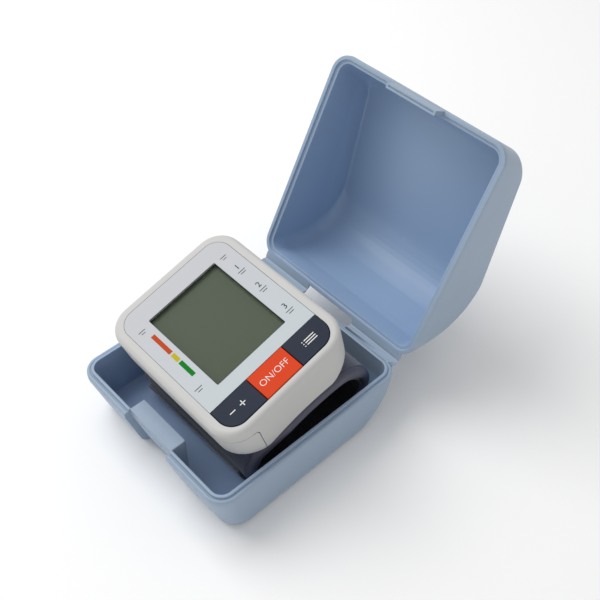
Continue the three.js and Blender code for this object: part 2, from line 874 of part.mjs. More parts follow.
function makeTube() {
  const bend = (pumpOffset - nozzlePlace.x) / 2;
  const bendY = Math.min(tubeStart, tubeEnd) - tubeStraight;
  const path = new THREE.CurvePath();
  const at = (x, y) => new THREE.Vector3(x, y, pumpHeight);
  path.add(new THREE.LineCurve3(at(pumpOffset, tubeStart), at(pumpOffset, bendY)));
  const points = [];
  for (let step = 0; step <= smallSteps; step += 1) {
    const angle = (step / smallSteps) * Math.PI;
    points.push(at(nozzlePlace.x + bend + bend * Math.cos(angle), bendY - bend * Math.sin(angle)));
  }
  path.add(new THREE.CatmullRomCurve3(points));
  path.add(new THREE.LineCurve3(at(nozzlePlace.x, bendY), at(nozzlePlace.x, tubeEnd)));
  const section = new THREE.Shape();
  section.absarc(0, 0, tubeRadius, 0, Math.PI * 2);
  const geometry = new THREE.ExtrudeGeometry(section, {
    steps: tubeSteps,
    extrudePath: path,
    bevelEnabled: false,
    curveSegments: smallSteps / 2,
  });
  return toSolid(geometry);
}

function makeNozzle() {
  const low = archHeight(0, 0) - clipThickness - fit;
  const plateTop = archHeight(0, rearWall) + fit;
  const high = pumpHeight + nozzleHead;
  return turned([
    [0, low],
    [nozzleRadius, low],
    [nozzleRadius, plateTop],
    [nozzleHead, plateTop],
    [nozzleHead, high],
    [0, high],
  ]).translate([nozzlePlace.x, nozzlePlace.y, 0]);
}

function makeValve() {
  const x = pumpOffset + pumpHeadWidth / 2 + valveGap + valveRadius;
  return rod(valveRadius, 0, valveLength).rotate(towardsFront)
    .translate([x, pumpFront + valveLength, underBoard - valveRadius - fit]);
}

function makeSensor() {
  const x = pumpOffset + motorRadius + valveGap + sensorWidth / 2;
  const y = pumpFront + valveLength + sensorLength;
  const body = box(
    x - sensorWidth / 2,
    x + sensorWidth / 2,
    y - sensorLength / 2,
    y + sensorLength / 2,
    underBoard - sensorThickness,
    underBoard,
  );
  const portTop = underBoard - sensorThickness + fit;
  const port = rod(sensorPortRadius, portTop - sensorPortLength, portTop, smallSteps);
  return body.add(port.translate([x, y, 0]));
}

function makeBuzzer() {
  const x = pumpOffset + motorRadius + valveGap + buzzerRadius;
  const y = pumpFront + valveLength + sensorLength * 2 + buzzerRadius;
  return rod(buzzerRadius, underBoard - buzzerThickness, underBoard).translate([x, y, 0]);
}

function makeChip() {
  const back = bossEnd - bossRadius - fit;
  return box(-chipSize / 2, chipSize / 2, back - chipSize, back, underBoard - chipThickness, underBoard);
}

// Batteries lie along the left wall, with springs at the lower end and one contact bar at the other

function makeBattery(x) {
  return turned([
    [0, 0],
    [batteryRadius, 0],
    [batteryRadius, batteryLength],
    [terminalRadius, batteryLength],
    [terminalRadius, batteryLength + terminalLength],
    [0, batteryLength + terminalLength],
  ]).rotate(towardsBack).translate([x, batteryFront, batteryHeight]);
}

function makeBatteryHolder() {
  const skirt = batteryHeight - batteryRadius / 2;
  const channel = polygon([
    [holderFront, skirt],
    [holderFront + batteryHolderWall, skirt],
    [holderFront + batteryHolderWall, holderRoofLow],
    [holderBack, holderRoofLow],
    [holderBack, skirt],
    [holderBack + batteryHolderWall, skirt],
    [holderBack + batteryHolderWall, holderRoofHigh],
    [holderFront, holderRoofHigh],
  ]);
  const left = batteryPlaces[0] - springRadius - fit;
  const right = batteryPlaces[1] + batteryRadius;
  return prismAlongX(channel, left, right)
    .intersect(housingBlock(housingWall + fit, -faceWall, rearWall - housingDepth));
}

function makeContactBar() {
  return box(
    batteryPlaces[0] - terminalRadius,
    batteryPlaces[1] + terminalRadius,
    contactFront,
    contactFront + contactThickness,
    batteryHeight - contactHeight / 2,
    batteryHeight + contactHeight / 2,
  );
}

// A cone spring on a disc, wound towards the battery.
function makeSpring(x) {
  class Winding extends THREE.Curve {
    getPoint(share, target = new THREE.Vector3()) {
      const angle = share * springTurns * Math.PI * 2;
      const radius = springRadius - springWire - springRadius * springTaperShare * share;
      const rise = contactThickness + (springLength - contactThickness - springWire) * share;
      return target.set(radius * Math.cos(angle), rise, radius * Math.sin(angle));
    }
  }
  const section = new THREE.Shape();
  section.absarc(0, 0, springWire / 2, 0, Math.PI * 2);
  const wire = new THREE.ExtrudeGeometry(section, {
    steps: springTurns * springStepsPerTurn,
    extrudePath: new Winding(),
    bevelEnabled: false,
    curveSegments: wireSides / 2,
  });
  const disc = rod(springRadius, 0, contactThickness, smallSteps).rotate(towardsBack);
  return toSolid(wire).add(disc).translate([x, cellFront, batteryHeight]);
}

function makeScrew([x, y]) {
  const seat = headSeat(x) - fit;
  return turned([
    [0, seat - screwHeadHeight],
    [screwHeadRadius, seat - screwHeadHeight],
    [screwHeadRadius, seat],
    [screwShankRadius, seat],
    [screwShankRadius, seat + screwLength],
    [0, seat + screwLength],
  ], smallSteps).translate([x, y, 0]);
}

// The clip plate follows the arch and holds the cuff to the rear housing.
function makeClipPlate() {
  const slab = belowArch(-fit).subtract(belowArch(-fit - clipThickness));
  const outline = box(-clipWidth / 2, clipWidth / 2, -clipLength / 2, clipLength / 2, wellBelow, 0);
  const port = rod(nozzleRadius + fit, wellBelow, 0, smallSteps);
  return slab.intersect(outline).subtract(port.translate([nozzlePlace.x, nozzlePlace.y, 0]));
}

// Cuff, drawn across X in the case's own directions. Its top follows the arch, its underside the floor.
const faceHeight = baseDepth + monitorFaceRise;
const cuffFloor = baseFloor + fit + strapThickness + fit;
const cuffTopOffset = -2 * fit - clipThickness;
const cuffFrontReach = openingDepth / 2 - cuffFrontRoom;
const cuffBackReach = openingDepth / 2 - cuffBackRoom;
const cuffTopSpan = (cuffFrontReach + cuffBackReach) * cuffTopSpanShare;

function underArch(x) {
  const height = archHeight(x, cuffTopOffset);
  const y = -monitorShift + x * Math.cos(monitorTilt) - height * Math.sin(monitorTilt);
  const z = faceHeight + x * Math.sin(monitorTilt) + height * Math.cos(monitorTilt);
  return new THREE.Vector3(y, z, 0);
}

function cuffCurve() {
  const points = [];
  for (let step = 0; step <= cuffTopSteps; step += 1) {
    points.push(underArch((step / cuffTopSteps) * cuffTopSpan - cuffTopSpan / 2));
  }
  const frontTop = points[0].y;
  const backTop = points[cuffTopSteps].y;
  const bend = (reach, top) => ([outShare, upShare]) => new THREE.Vector3(
    reach * outShare,
    cuffFloor + (top - cuffFloor) * upShare,
    0,
  );
  points.push(...cuffBackBendShares.map(bend(cuffBackReach, backTop)));
  points.push(new THREE.Vector3(0, cuffFloor, 0));
  points.push(...cuffFrontBendShares.map(bend(-cuffFrontReach, frontTop)));
  return new THREE.CatmullRomCurve3(points, true, 'centripetal');
}

const cuffPath = cuffCurve();
const cuffOutline = Array.from({ length: cuffSteps }, (_, step) => {
  const point = cuffPath.getPoint(step / cuffSteps);
  return new THREE.Vector2(point.x, Math.max(point.y, cuffFloor));
});

// The outline drawn in by a depth, point by point along its own normal.
function cuffPoint(step, depth) {
  const at = (index) => cuffOutline[(index + cuffSteps) % cuffSteps];
  const tangent = at(step + 1).clone().sub(at(step - 1)).normalize();
  return at(step).clone().add(new THREE.Vector2(tangent.y, -tangent.x).multiplyScalar(depth));
}

const cuffLeft = cuffShift - cuffWidth / 2;
const cuffRight = cuffShift + cuffWidth / 2;

// A full turn of one layer, from its outer face at a depth below the cuff's outside.
function cuffRing(depth, thickness) {
  const loop = (offset, x) => Array.from({ length: cuffSteps }, (_, step) => {
    const point = cuffPoint(cuffSteps - step, offset);
    return new THREE.Vector3(x, point.x, point.y);
  });
  const outer = loft([loop(depth, cuffLeft), loop(depth, cuffRight)]);
  const inner = loft([
    loop(depth + thickness, cuffLeft - overrun),
    loop(depth + thickness, cuffRight + overrun),
  ]);
  return outer.subtract(inner);
}

// Part of the way round, between a start and an end share, held in from the cuff's edges.
function cuffBand(depth, thickness, [start, end], edge) {
  const left = cuffLeft + edge;
  const right = cuffRight - edge;
  const first = Math.round(start * cuffSteps);
  const last = Math.round(end * cuffSteps);
  const sections = [];
  for (let step = first; step <= last; step += 1) {
    const outer = cuffPoint(step, depth);
    const inner = cuffPoint(step, depth + thickness);
    sections.push([
      new THREE.Vector3(left, outer.x, outer.y),
      new THREE.Vector3(right, outer.x, outer.y),
      new THREE.Vector3(right, inner.x, inner.y),
      new THREE.Vector3(left, inner.x, inner.y),
    ]);
  }
  return loft(sections);
}

const stiffenerDepth = coverThickness + fit;
const bladderDepth = stiffenerDepth + stiffenerThickness + fit;
const linerDepth = bladderDepth + bladderThickness + fit;

// The assembly

const model = new THREE.Group();

const caseBase = new THREE.Group();
caseBase.add(named('case_base', makeCaseBase(), 'case'));
for (const [name, side] of [['hinge_film_left', -1], ['hinge_film_right', 1]]) {
  const length = (hingeSpan - hingeMiddleGap) / 2;
  const film = named(name, rod(filmRadius, -length / 2, length / 2, smallSteps), 'case');
  film.rotation.y = Math.PI / 2;
  film.position.set(side * (hingeMiddleGap + length) / 2, hingeBack, baseDepth);
  caseBase.add(film);
}
model.add(caseBase);

const lidSwing = new THREE.Group();
lidSwing.position.set(0, hingeBack, baseDepth);
lidSwing.rotation.x = -lidOpenAngle;
const lid = named('case_lid', makeCaseLid(), 'case');
lid.position.y = -hingeBack;
lidSwing.add(lid);
model.add(lidSwing);

const monitorSeat = new THREE.Group();
monitorSeat.position.set(0, -monitorShift, faceHeight);
monitorSeat.rotation.x = monitorTilt;
const monitor = new THREE.Group();
monitor.rotation.z = Math.PI / 2;
monitorSeat.add(monitor);
model.add(monitorSeat);

monitor.add(named('front_housing', makeFrontHousing(), 'housing'));
monitor.add(named('rear_housing', makeRearHousing(), 'housing'));
monitor.add(named('battery_cover', makeBatteryCover(), 'housing'));
monitor.add(named('face_panel', makeFacePanel(), 'panel'));
monitor.add(named('lcd_lens', prism(windowShape(lensOverlap), lensTop - lensThickness, lensTop), 'lens'));
monitor.add(named('lcd_cell', prism(windowShape(cellOverlap), cellLow, cellTop), 'cell'));
monitor.add(named('lcd_holder', makeHolder(), 'blackPlastic'));
monitor.add(named('lcd_connector', makeConnector(), 'rubber'));
monitor.add(named('button_set', makeButton(-1), 'darkButton'));
monitor.add(named('button_on_off', makeButton(0), 'redButton'));
monitor.add(named('button_mem', makeButton(1), 'darkButton'));
monitor.add(named('keypad_membrane', makeMembrane(), 'rubber'));
monitor.add(named('circuit_board', makeBoard(), 'board'));
monitor.add(named('processor_chip', makeChip(), 'chip'));
monitor.add(named('buzzer', makeBuzzer(), 'blackPlastic'));
monitor.add(named('pressure_sensor', makeSensor(), 'blackPlastic'));
monitor.add(named('air_pump_motor', makeMotor(), 'metal'));
monitor.add(named('air_pump_head', makePumpHead(), 'blackPlastic'));
monitor.add(named('release_valve', makeValve(), 'metal'));
monitor.add(named('air_tube', makeTube(), 'rubber'));
monitor.add(named('cuff_nozzle', makeNozzle(), 'blackPlastic'));
monitor.add(named('battery_left', makeBattery(batteryPlaces[0]), 'battery'));
monitor.add(named('battery_right', makeBattery(batteryPlaces[1]), 'battery'));
monitor.add(named('battery_spring_left', makeSpring(batteryPlaces[0]), 'metal'));
monitor.add(named('battery_spring_right', makeSpring(batteryPlaces[1]), 'metal'));
monitor.add(named('battery_contact_bar', makeContactBar(), 'metal'));
monitor.add(named('battery_holder', makeBatteryHolder(), 'blackPlastic'));
monitor.add(named('cuff_clip_plate', makeClipPlate(), 'blackPlastic'));
screwPlaces.forEach((place, index) => {
  monitor.add(named(`housing_screw_${index + 1}`, makeScrew(place), 'metal'));
});

model.add(named('cuff_cover', cuffRing(0, coverThickness), 'fabric'));
const stiffener = cuffBand(stiffenerDepth, stiffenerThickness, stiffenerSpanShares, cuffHem);
model.add(named('cuff_stiffener', stiffener, 'blackPlastic'));
const bladder = cuffBand(bladderDepth, bladderThickness, bladderSpanShares, cuffHem + cuffHem);
model.add(named('cuff_bladder', bladder, 'bladder'));
model.add(named('cuff_liner', cuffRing(linerDepth, linerThickness), 'lining'));
const strap = cuffBand(-fit - strapThickness, strapThickness, strapSpanShares, cuffHem);
model.add(named('cuff_strap', strap, 'fabric'));

export default model;
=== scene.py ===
import math

import bmesh
import bpy
from mathutils import Matrix, Vector


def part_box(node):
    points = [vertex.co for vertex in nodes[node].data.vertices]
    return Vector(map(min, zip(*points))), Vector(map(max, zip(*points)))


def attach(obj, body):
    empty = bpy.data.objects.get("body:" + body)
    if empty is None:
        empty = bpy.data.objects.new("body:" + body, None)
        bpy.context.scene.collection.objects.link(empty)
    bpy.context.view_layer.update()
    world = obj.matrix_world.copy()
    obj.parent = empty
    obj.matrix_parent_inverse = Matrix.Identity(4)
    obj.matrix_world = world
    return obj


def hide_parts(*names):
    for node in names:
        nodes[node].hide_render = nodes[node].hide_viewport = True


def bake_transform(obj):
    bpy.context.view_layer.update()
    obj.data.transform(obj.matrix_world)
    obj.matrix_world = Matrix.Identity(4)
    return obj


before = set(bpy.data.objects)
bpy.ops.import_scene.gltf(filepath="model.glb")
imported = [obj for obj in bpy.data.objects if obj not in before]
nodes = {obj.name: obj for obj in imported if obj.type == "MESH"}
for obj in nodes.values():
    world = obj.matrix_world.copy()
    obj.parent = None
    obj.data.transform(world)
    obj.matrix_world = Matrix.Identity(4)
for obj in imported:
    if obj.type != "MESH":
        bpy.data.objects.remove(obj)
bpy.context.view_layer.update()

# New pieces are drawn in millimetres, in the case's, the lid's or the monitor's own directions,
# and settle() then turns them into place and into metres.
toMetres = Matrix.Scale(0.001, 4)
hingeLine = Vector((0, 53.15, 28.4))
lidTurn = math.radians(-117.6)
monitorTilt = math.radians(15.5)
drawings = {
    "case": Matrix.Identity(4),
    "lid": Matrix.Translation(hingeLine)
    @ Matrix.Rotation(lidTurn, 4, "X")
    @ Matrix.Translation((0, -hingeLine.y, 0)),
    "monitor": Matrix.Translation((0, -7, 60.4))
    @ Matrix.Rotation(monitorTilt, 4, "X")
    @ Matrix.Rotation(math.radians(90), 4, "Z"),
}
near = 0.01  # places closer than this are the same place
past = 4  # a cutting tool reaches this far past what it cuts


# Camera, at the photograph's angle

cameraView = {
    "place": (0.19338, -0.14876, 0.33797),
    "right": (0.6811, 0.7321, 0.0103),
    "down": (0.5453, -0.4977, -0.6746),
    "lens": 54.5, "sensor": 36, "clipStart": 0.01,
}


def placeCamera():
    bpy.ops.object.camera_add()
    camera = bpy.context.object
    right = Vector(cameraView["right"]).normalized()
    up = -Vector(cameraView["down"])
    up = (up - up.dot(right) * right).normalized()
    turn = Matrix((right, up, right.cross(up))).transposed().to_4x4()
    camera.matrix_world = Matrix.Translation(cameraView["place"]) @ turn
    camera.data.lens = cameraView["lens"]
    camera.data.sensor_width = cameraView["sensor"]
    camera.data.clip_start = cameraView["clipStart"]
    bpy.context.scene.camera = camera


placeCamera()
print("camera placed")


# Shader maths

class Signal:
    # a socket in a material; Python's operators add Math nodes
    def __init__(self, finish, socket):
        self.finish = finish
        self.socket = socket

    def through(self, operation, *values):
        return self.finish.node("Math", {"operation": operation}, dict(enumerate(values)))

    def __add__(self, other):
        return self.through("ADD", self, other)

    def __radd__(self, other):
        return self.through("ADD", other, self)

    def __mul__(self, other):
        return self.through("MULTIPLY", self, other)

    def __rmul__(self, other):
        return self.through("MULTIPLY", other, self)

    def __gt__(self, other):
        return self.through("GREATER_THAN", self, other)


class Finish:
    # one material; node() adds a node and shade() sets the shader's sockets
    def __init__(self, name):
        self.material = bpy.data.materials.new(name)
        self.material.use_nodes = True
        self.tree = self.material.node_tree
        self.shader = self.tree.nodes["Principled BSDF"]
        self.place = self.node("TexCoord", output="Object")

    def node(self, kind, settings=None, sockets=None, output=0):
        made = self.tree.nodes.new("ShaderNode" + kind)
        for name, value in (settings or {}).items():
            setattr(made, name, value)
        self.feed(made, sockets or {})
        return Signal(self, made.outputs[output])

    def feed(self, node, sockets):
        for name, value in sockets.items():
            if isinstance(value, Signal):
                self.tree.links.new(value.socket, node.inputs[name])
            elif isinstance(value, tuple):
                node.inputs[name].default_value = (*value, 1)
            else:
                node.inputs[name].default_value = value

    def shade(self, **sockets):
        self.feed(self.shader, {name.replace("_", " "): value for name, value in sockets.items()})

    def noise(self, size, detail=2.0, roughness=0.5):
        # size is the rough width of one blotch, in millimetres
        return self.node("TexNoise", {}, {
            "Vector": self.place, "Scale": 1000 / size, "Detail": detail, "Roughness": roughness})

    def mix(self, factor, first, second):
        # the Mix node's colours are its sockets 6 and 7, and its output 2
        sockets = {"Factor": factor, 6: first, 7: second}
        return self.node("Mix", {"data_type": "RGBA"}, sockets, output=2)

    def bump(self, height, depth):
        # depth is the relief's full height, in millimetres
        return self.node("Bump", {}, {"Height": height, "Distance": depth / 1000})

    def axis(self, name):
        return self.node("SeparateXYZ", {}, {"Vector": self.place}, output=name)


def fromScreen(*color):
    # a colour as a screen shows it, turned into the shader's linear one
    shares = [value / 255 for value in color]
    return tuple(share / 12.92 if share <= 0.04045 else ((share + 0.055) / 1.055) ** 2.4 for share in shares)


# Materials

finishes = {}


def mouldedPlastic(name, color, tint, roughness, grain=0.35, relief=0.012, shine=0.35):
    # moulded plastic: slow colour drift, fine grain in the relief, uneven gloss
    finish = Finish(name)
    drift = finish.noise(38, detail=3.0)
    grainNoise = finish.noise(grain, detail=3.0, roughness=0.6)
    smear = finish.noise(9, detail=4.0, roughness=0.6)
    finish.shade(
        Base_Color=finish.mix(drift, fromScreen(*color), fromScreen(*tint)),
        Roughness=roughness - 0.06 + smear * 0.12,
        Normal=finish.bump(grainNoise, relief),
        Specular_IOR_Level=shine,
    )
    return finish


# the two screen colours that each plastic drifts between, its roughness, and how its surface differs
caseSurface = {"grain": 0.6, "relief": 0.006}
keySurface = {"grain": 0.25, "shine": 0.15}
plastics = {
    "case": ("caseBlue", (153, 171, 190), (145, 162, 182), 0.4, caseSurface),
    # these two are bluer copies of the case colour for the hollows' inner faces: painted bounce light, not a
    # different plastic
    "lidPaintedBounce": ("caseBluePaintedBounceLid", (151, 175, 204), (145, 168, 198), 0.34, caseSurface),
    "basePaintedBounce": ("caseBluePaintedBounceBase", (155, 179, 212), (149, 172, 206), 0.34, caseSurface),
    "housing": ("housingWhite", (198, 198, 196), (192, 191, 189), 0.55, {"grain": 0.3, "relief": 0.015}),
    "darkKey": ("darkKey", (34, 43, 59), (31, 39, 54), 0.5, keySurface),
    "orangeKey": ("orangeKey", (214, 62, 4), (207, 56, 3), 0.5, keySurface),
    "blackPlastic": ("blackPlastic", (38, 39, 43), (46, 47, 51), 0.5, {}),
    "greyRubber": ("greyRubber", (170, 170, 166), (158, 158, 154), 0.75, {}),
}
for kind, (name, color, tint, roughness, surface) in plastics.items():
    finishes[kind] = mouldedPlastic(name, color, tint, roughness, **surface)


def silverPanel(finish):
    # printed film: pale silver, bluer towards the keys
    along = finish.axis("X")
    lower = finish.node("MapRange", {}, {"Value": along, "From Min": -0.03, "From Max": 0.022})
    sparkle = finish.noise(0.12, detail=1.0)
    base = finish.mix(lower, fromScreen(175, 176, 181), fromScreen(176, 185, 189))
    finish.shade(
        Base_Color=finish.mix(sparkle * 0.12, base, fromScreen(214, 218, 222)),
        Roughness=0.34 + sparkle * 0.08,
        Normal=finish.bump(sparkle, 0.003),
    )


def displayGlass(finish):
    # blank reflective display: grey-green and slightly cloudy
    cloud = finish.noise(26, detail=2.0)
    grain = finish.noise(0.25, detail=1.0)
    base = finish.mix(cloud, fromScreen(73, 86, 67), fromScreen(79, 90, 71))
    finish.shade(
        Base_Color=finish.mix(grain * 0.1, base, fromScreen(66, 77, 61)),
        Roughness=0.4 + grain * 0.06,
        Specular_IOR_Level=0.2,
    )


def clearLens(finish):
    # nearly clear sheet, matt enough to show no lamp
    wipe = finish.noise(14, detail=3.0)
    finish.shade(
        Base_Color=(0.03, 0.035, 0.03),
        Roughness=0.3 + wipe * 0.06,
        Alpha=0.05,
        Specular_IOR_Level=0.1,
    )


def printedInk(name, color):
    # flat ink with fine specks of a darker shade
    finish = Finish(name)
    speck = finish.noise(0.3, detail=2.0)
    fresh = fromScreen(*color)
    worn = tuple(share * 0.8 for share in fresh)
    finish.shade(Base_Color=finish.mix(speck * 0.3, fresh, worn), Roughness=0.6, Specular_IOR_Level=0.1)
    return finish


inks = {
    "inkGrey": (58, 62, 68), "inkWhite": (236, 236, 232), "inkRed": (188, 72, 30),
    "inkYellow": (190, 174, 36), "inkGreen": (6, 122, 30),
}
for name, color in inks.items():
    finishes[name] = printedInk(name, color)


def knitCloth(name, color, light, size, relief):
    # knitted cloth: rows of stitches, size wide, along the piece's own map, with fuzz and wear
    finish = Finish(name)
    # at this scale a wave's bands stand as far apart as the stitches
    pattern = {"Vector": finish.node("UVMap", {"uv_map": "cloth"}), "Scale": 0.314 / size,
               "Distortion": 1.6, "Detail": 2.0, "Detail Scale": 3.0}
    across, along = (finish.node("TexWave", {"bands_direction": direction}, pattern, output="Fac")
                     for direction in ("X", "Y"))
    stitch = across * along
    fuzz = finish.noise(0.5, detail=4.0, roughness=0.7)
    worn = finish.noise(11, detail=3.0)
    shade = stitch * 0.45 + fuzz * 0.3 + worn * 0.25
    finish.shade(
        Base_Color=finish.mix(shade, fromScreen(*color), fromScreen(*light)),
        Roughness=0.85 + fuzz * 0.1,
        Sheen_Weight=0.25,
        Sheen_Roughness=0.5,
        Normal=finish.bump(stitch * 0.6 + fuzz * 0.4, relief),
    )
    return finish


finishes["cuffCloth"] = knitCloth("cuffCloth", (44, 49, 62), (84, 90, 108), 0.8, 0.15)
finishes["cuffLining"] = knitCloth("cuffLining", (14, 15, 20), (34, 36, 44), 0.9, 0.12)
finishes["strapLoops"] = knitCloth("strapLoops", (40, 47, 60), (96, 106, 122), 1.2, 0.2)


def cuffEdgeTape(finish):
    # smooth bound edge of the cuff, slightly shiny
    worn = finish.noise(5, detail=4.0)
    rib = finish.noise(0.3, detail=2.0)
    finish.shade(
        Base_Color=finish.mix(worn, fromScreen(62, 64, 78), fromScreen(88, 88, 104)),
        Roughness=0.45 + worn * 0.15,
        Normal=finish.bump(rib, 0.03),
    )


def platedSteel(finish):
    # plated steel with fine brushing
    brushed = finish.noise(0.4, detail=4.0, roughness=0.7)
    finish.shade(
        Base_Color=finish.mix(brushed, fromScreen(176, 178, 180), fromScreen(206, 207, 208)),
        Metallic=1.0,
        Roughness=0.24 + brushed * 0.14,
        Normal=finish.bump(brushed, 0.004),
    )


def boardLaminate(finish):
    # green solder mask with a faint pattern of copper underneath
    tracks = finish.node("TexBrick", {}, {
        "Vector": finish.place, "Scale": 220.0, "Mortar Size": 0.04}, output="Fac")
    speck = finish.noise(1.2, detail=3.0)
    base = finish.mix(tracks, fromScreen(38, 104, 62), fromScreen(60, 132, 82))
    finish.shade(
        Base_Color=finish.mix(speck * 0.3, base, fromScreen(28, 84, 50)),
        Roughness=0.35 + speck * 0.1,
    )


def cellSleeve(finish):
    # plain two-tone foil sleeve on the cells
    band = finish.axis("X") > 0.022
    scuff = finish.noise(2.5, detail=4.0)
    base = finish.mix(band, fromScreen(52, 78, 128), fromScreen(178, 180, 184))
    finish.shade(
        Base_Color=finish.mix(scuff * 0.2, base, fromScreen(30, 40, 70)),
        Metallic=0.4,
        Roughness=0.3 + scuff * 0.15,
    )


makers = {
    "panel": silverPanel, "display": displayGlass, "lens": clearLens, "cuffTape": cuffEdgeTape,
    "steel": platedSteel, "board": boardLaminate, "cell": cellSleeve,
}
for kind, maker in makers.items():
    finishes[kind] = Finish(maker.__name__)
    maker(finishes[kind])
print("materials made:", len(finishes))


# Modelling helpers

def clearSelection():
    if bpy.context.mode != "OBJECT":
        bpy.ops.object.mode_set(mode="OBJECT")
    bpy.ops.object.select_all(action="DESELECT")


def makeActive(piece):
    clearSelection()
    piece.select_set(True)
    bpy.context.view_layer.objects.active = piece


def block(name, low, high):
    clearSelection()
    middle = [(a + b) / 2 for a, b in zip(low, high)]
    bpy.ops.mesh.primitive_cube_add(size=1, location=middle, scale=[b - a for a, b in zip(low, high)])
    bpy.ops.object.transform_apply()
    bpy.context.object.name = name
    return bpy.context.object


def pick(piece, mode, test):
    # leaves the piece in edit mode, with what passes the test selected
    makeActive(piece)
    bpy.ops.object.mode_set(mode="EDIT")
    bpy.ops.mesh.select_mode(type=mode)
    bpy.ops.mesh.select_all(action="DESELECT")
    edit = bmesh.from_edit_mesh(piece.data)
    for part in {"VERT": edit.verts, "EDGE": edit.edges}[mode]:
        if test(part):
            part.select_set(True)
    bmesh.update_edit_mesh(piece.data)


def bevelEdges(piece, test, width, segments=3):
    pick(piece, "EDGE", test)
    bpy.ops.mesh.bevel(offset=width, segments=segments, affect="EDGES", clamp_overlap=True)
    bpy.ops.object.mode_set(mode="OBJECT")


def bevelTop(piece, height, width, segments):
    # the edges that lie wholly at the top, at the given height
    bevelEdges(piece, lambda edge: all(v.co.z > height - near for v in edge.verts), width, segments)


def isUpright(edge):
    a, b = (vert.co for vert in edge.verts)
    return abs(a.x - b.x) < near and abs(a.y - b.y) < near


def plate(name, left, right, front, back, low, high, radii, segments=10):
    # a flat plate with its own radius at each upright edge: left front, right front, right back, left back
    piece = block(name, (left, front, low), (right, back, high))
    corners = [(left, front), (right, front), (right, back), (left, back)]
    for (x, y), radius in zip(corners, radii):
        if radius > 0:
            def atCorner(edge, x=x, y=y):
                spot = edge.verts[0].co
                return isUpright(edge) and abs(spot.x - x) < near and abs(spot.y - y) < near
            bevelEdges(piece, atCorner, radius, segments)
    return piece


def applyModifier(piece, kind, **settings):
    makeActive(piece)
    modifier = piece.modifiers.new(kind.lower(), kind)
    for name, value in settings.items():
        setattr(modifier, name, value)
    bpy.ops.object.modifier_apply(modifier=modifier.name)


def copyOf(piece, name):
    twin = piece.copy()
    twin.data = piece.data.copy()
    twin.name = name
    bpy.context.scene.collection.objects.link(twin)
    return twin


def cut(piece, tool, operation="DIFFERENCE"):
    applyModifier(piece, "BOOLEAN", object=tool, operation=operation, solver="EXACT")
    bpy.data.objects.remove(tool)


def smoothShade(piece, angle=32):
    makeActive(piece)
    bpy.ops.object.shade_smooth_by_angle(angle=math.radians(angle))
    applyModifier(piece, "WEIGHTED_NORMAL", keep_sharp=True, weight=60)


def facetEdges(piece, width, angle=40):
    # small rounds on every sharp edge, then smooth shading that keeps flats flat
    applyModifier(piece, "BEVEL", width=width, segments=2, limit_method="ANGLE",
                  angle_limit=math.radians(angle), use_clamp_overlap=True, miter_outer="MITER_ARC")
    smoothShade(piece)


def wholeMesh(piece, operator, **settings):
    # runs one of edit mode's operators on all of the piece
    makeActive(piece)
    bpy.ops.object.mode_set(mode="EDIT")
    bpy.ops.mesh.select_all(action="SELECT")
    operator(**settings)
    bpy.ops.object.mode_set(mode="OBJECT")


def faceOutwards(piece):
    wholeMesh(piece, bpy.ops.mesh.normals_make_consistent, inside=False)


def dress(piece, finish):
    piece.data.materials.clear()
    piece.data.materials.append(finishes[finish].material)


def settle(piece, drawing, body, finish, stands=()):
    makeActive(piece)
    piece.data.transform(toMetres @ drawings[drawing])
    dress(piece, finish)
    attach(piece, body)
    if stands:
        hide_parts(*stands)


# Rounded-rectangle rings, from which the case and the housing are drawn up

rings = {"cornerSteps": 12, "leastCorner": 0.05, "leastStep": 0.06, "merge": 0.004}


def roundedRing(halfWidth, front, back, corner, height):
    radius = max(min(corner, halfWidth, (front + back) / 2), rings["leastCorner"])
    wide, low, high = halfWidth - radius, radius - front, back - radius
    middles = [(wide, high), (-wide, high), (-wide, low), (wide, low)]
    ring = []
    for quarter, (x, y) in enumerate(middles):
        for step in range(rings["cornerSteps"] + 1):
            angle = (quarter + step / rings["cornerSteps"]) * math.pi / 2
            ring.append(Vector((x + radius * math.cos(angle), y + radius * math.sin(angle), height)))
    return ring


def wallReach(height, reach, lean, fillet, top):
    # how far out a wall stands at a height: round its foot's fillet, then up its lean to the reach at the top
    roundness = min(fillet, top)
    if height < roundness * (1 - math.sin(lean)):
        middle = reach - (roundness + (top - roundness) * math.sin(lean)) / math.cos(lean)
        return middle + math.sqrt(max(roundness ** 2 - (roundness - height) ** 2, 0))
    return reach - max(top - height, 0) * math.tan(lean)


def trayRings(tray, halfWidth, halfDepth, corner, floor, rim, band, inset=0):
    # floor, filleted leaning walls, then an upright band to the rim, with the mouth drawn in by the inset
    top = rim - band - floor
    heights = {0, round(top, 3), round(top + band, 3)}
    for lean, fillet, steps in tray.values():
        roundness = min(fillet, top)
        if inset > 0:
            heights.add(round(max(top - inset / math.tan(lean), 0), 3))
        for step in range(1, steps + 1):
            heights.add(round(roundness * (1 - math.cos(step / steps * (math.pi / 2 - lean))), 3))
    limits = (halfWidth, halfDepth, halfDepth)
    stack = []
    last = -1
    for height in sorted(heights):
        if height - last < rings["leastStep"] and height < top:
            continue
        last = height
        reaches = [wallReach(height, limit, *wall[:2], top) for limit, wall in zip(limits, tray.values())]
        drawn = [min(reach, limit - inset) for reach, limit in zip(reaches, limits)]
        trimmed = max(reach - less for reach, less in zip(reaches, drawn))
        stack.append(roundedRing(*drawn, corner - trimmed, floor + height))
    return stack


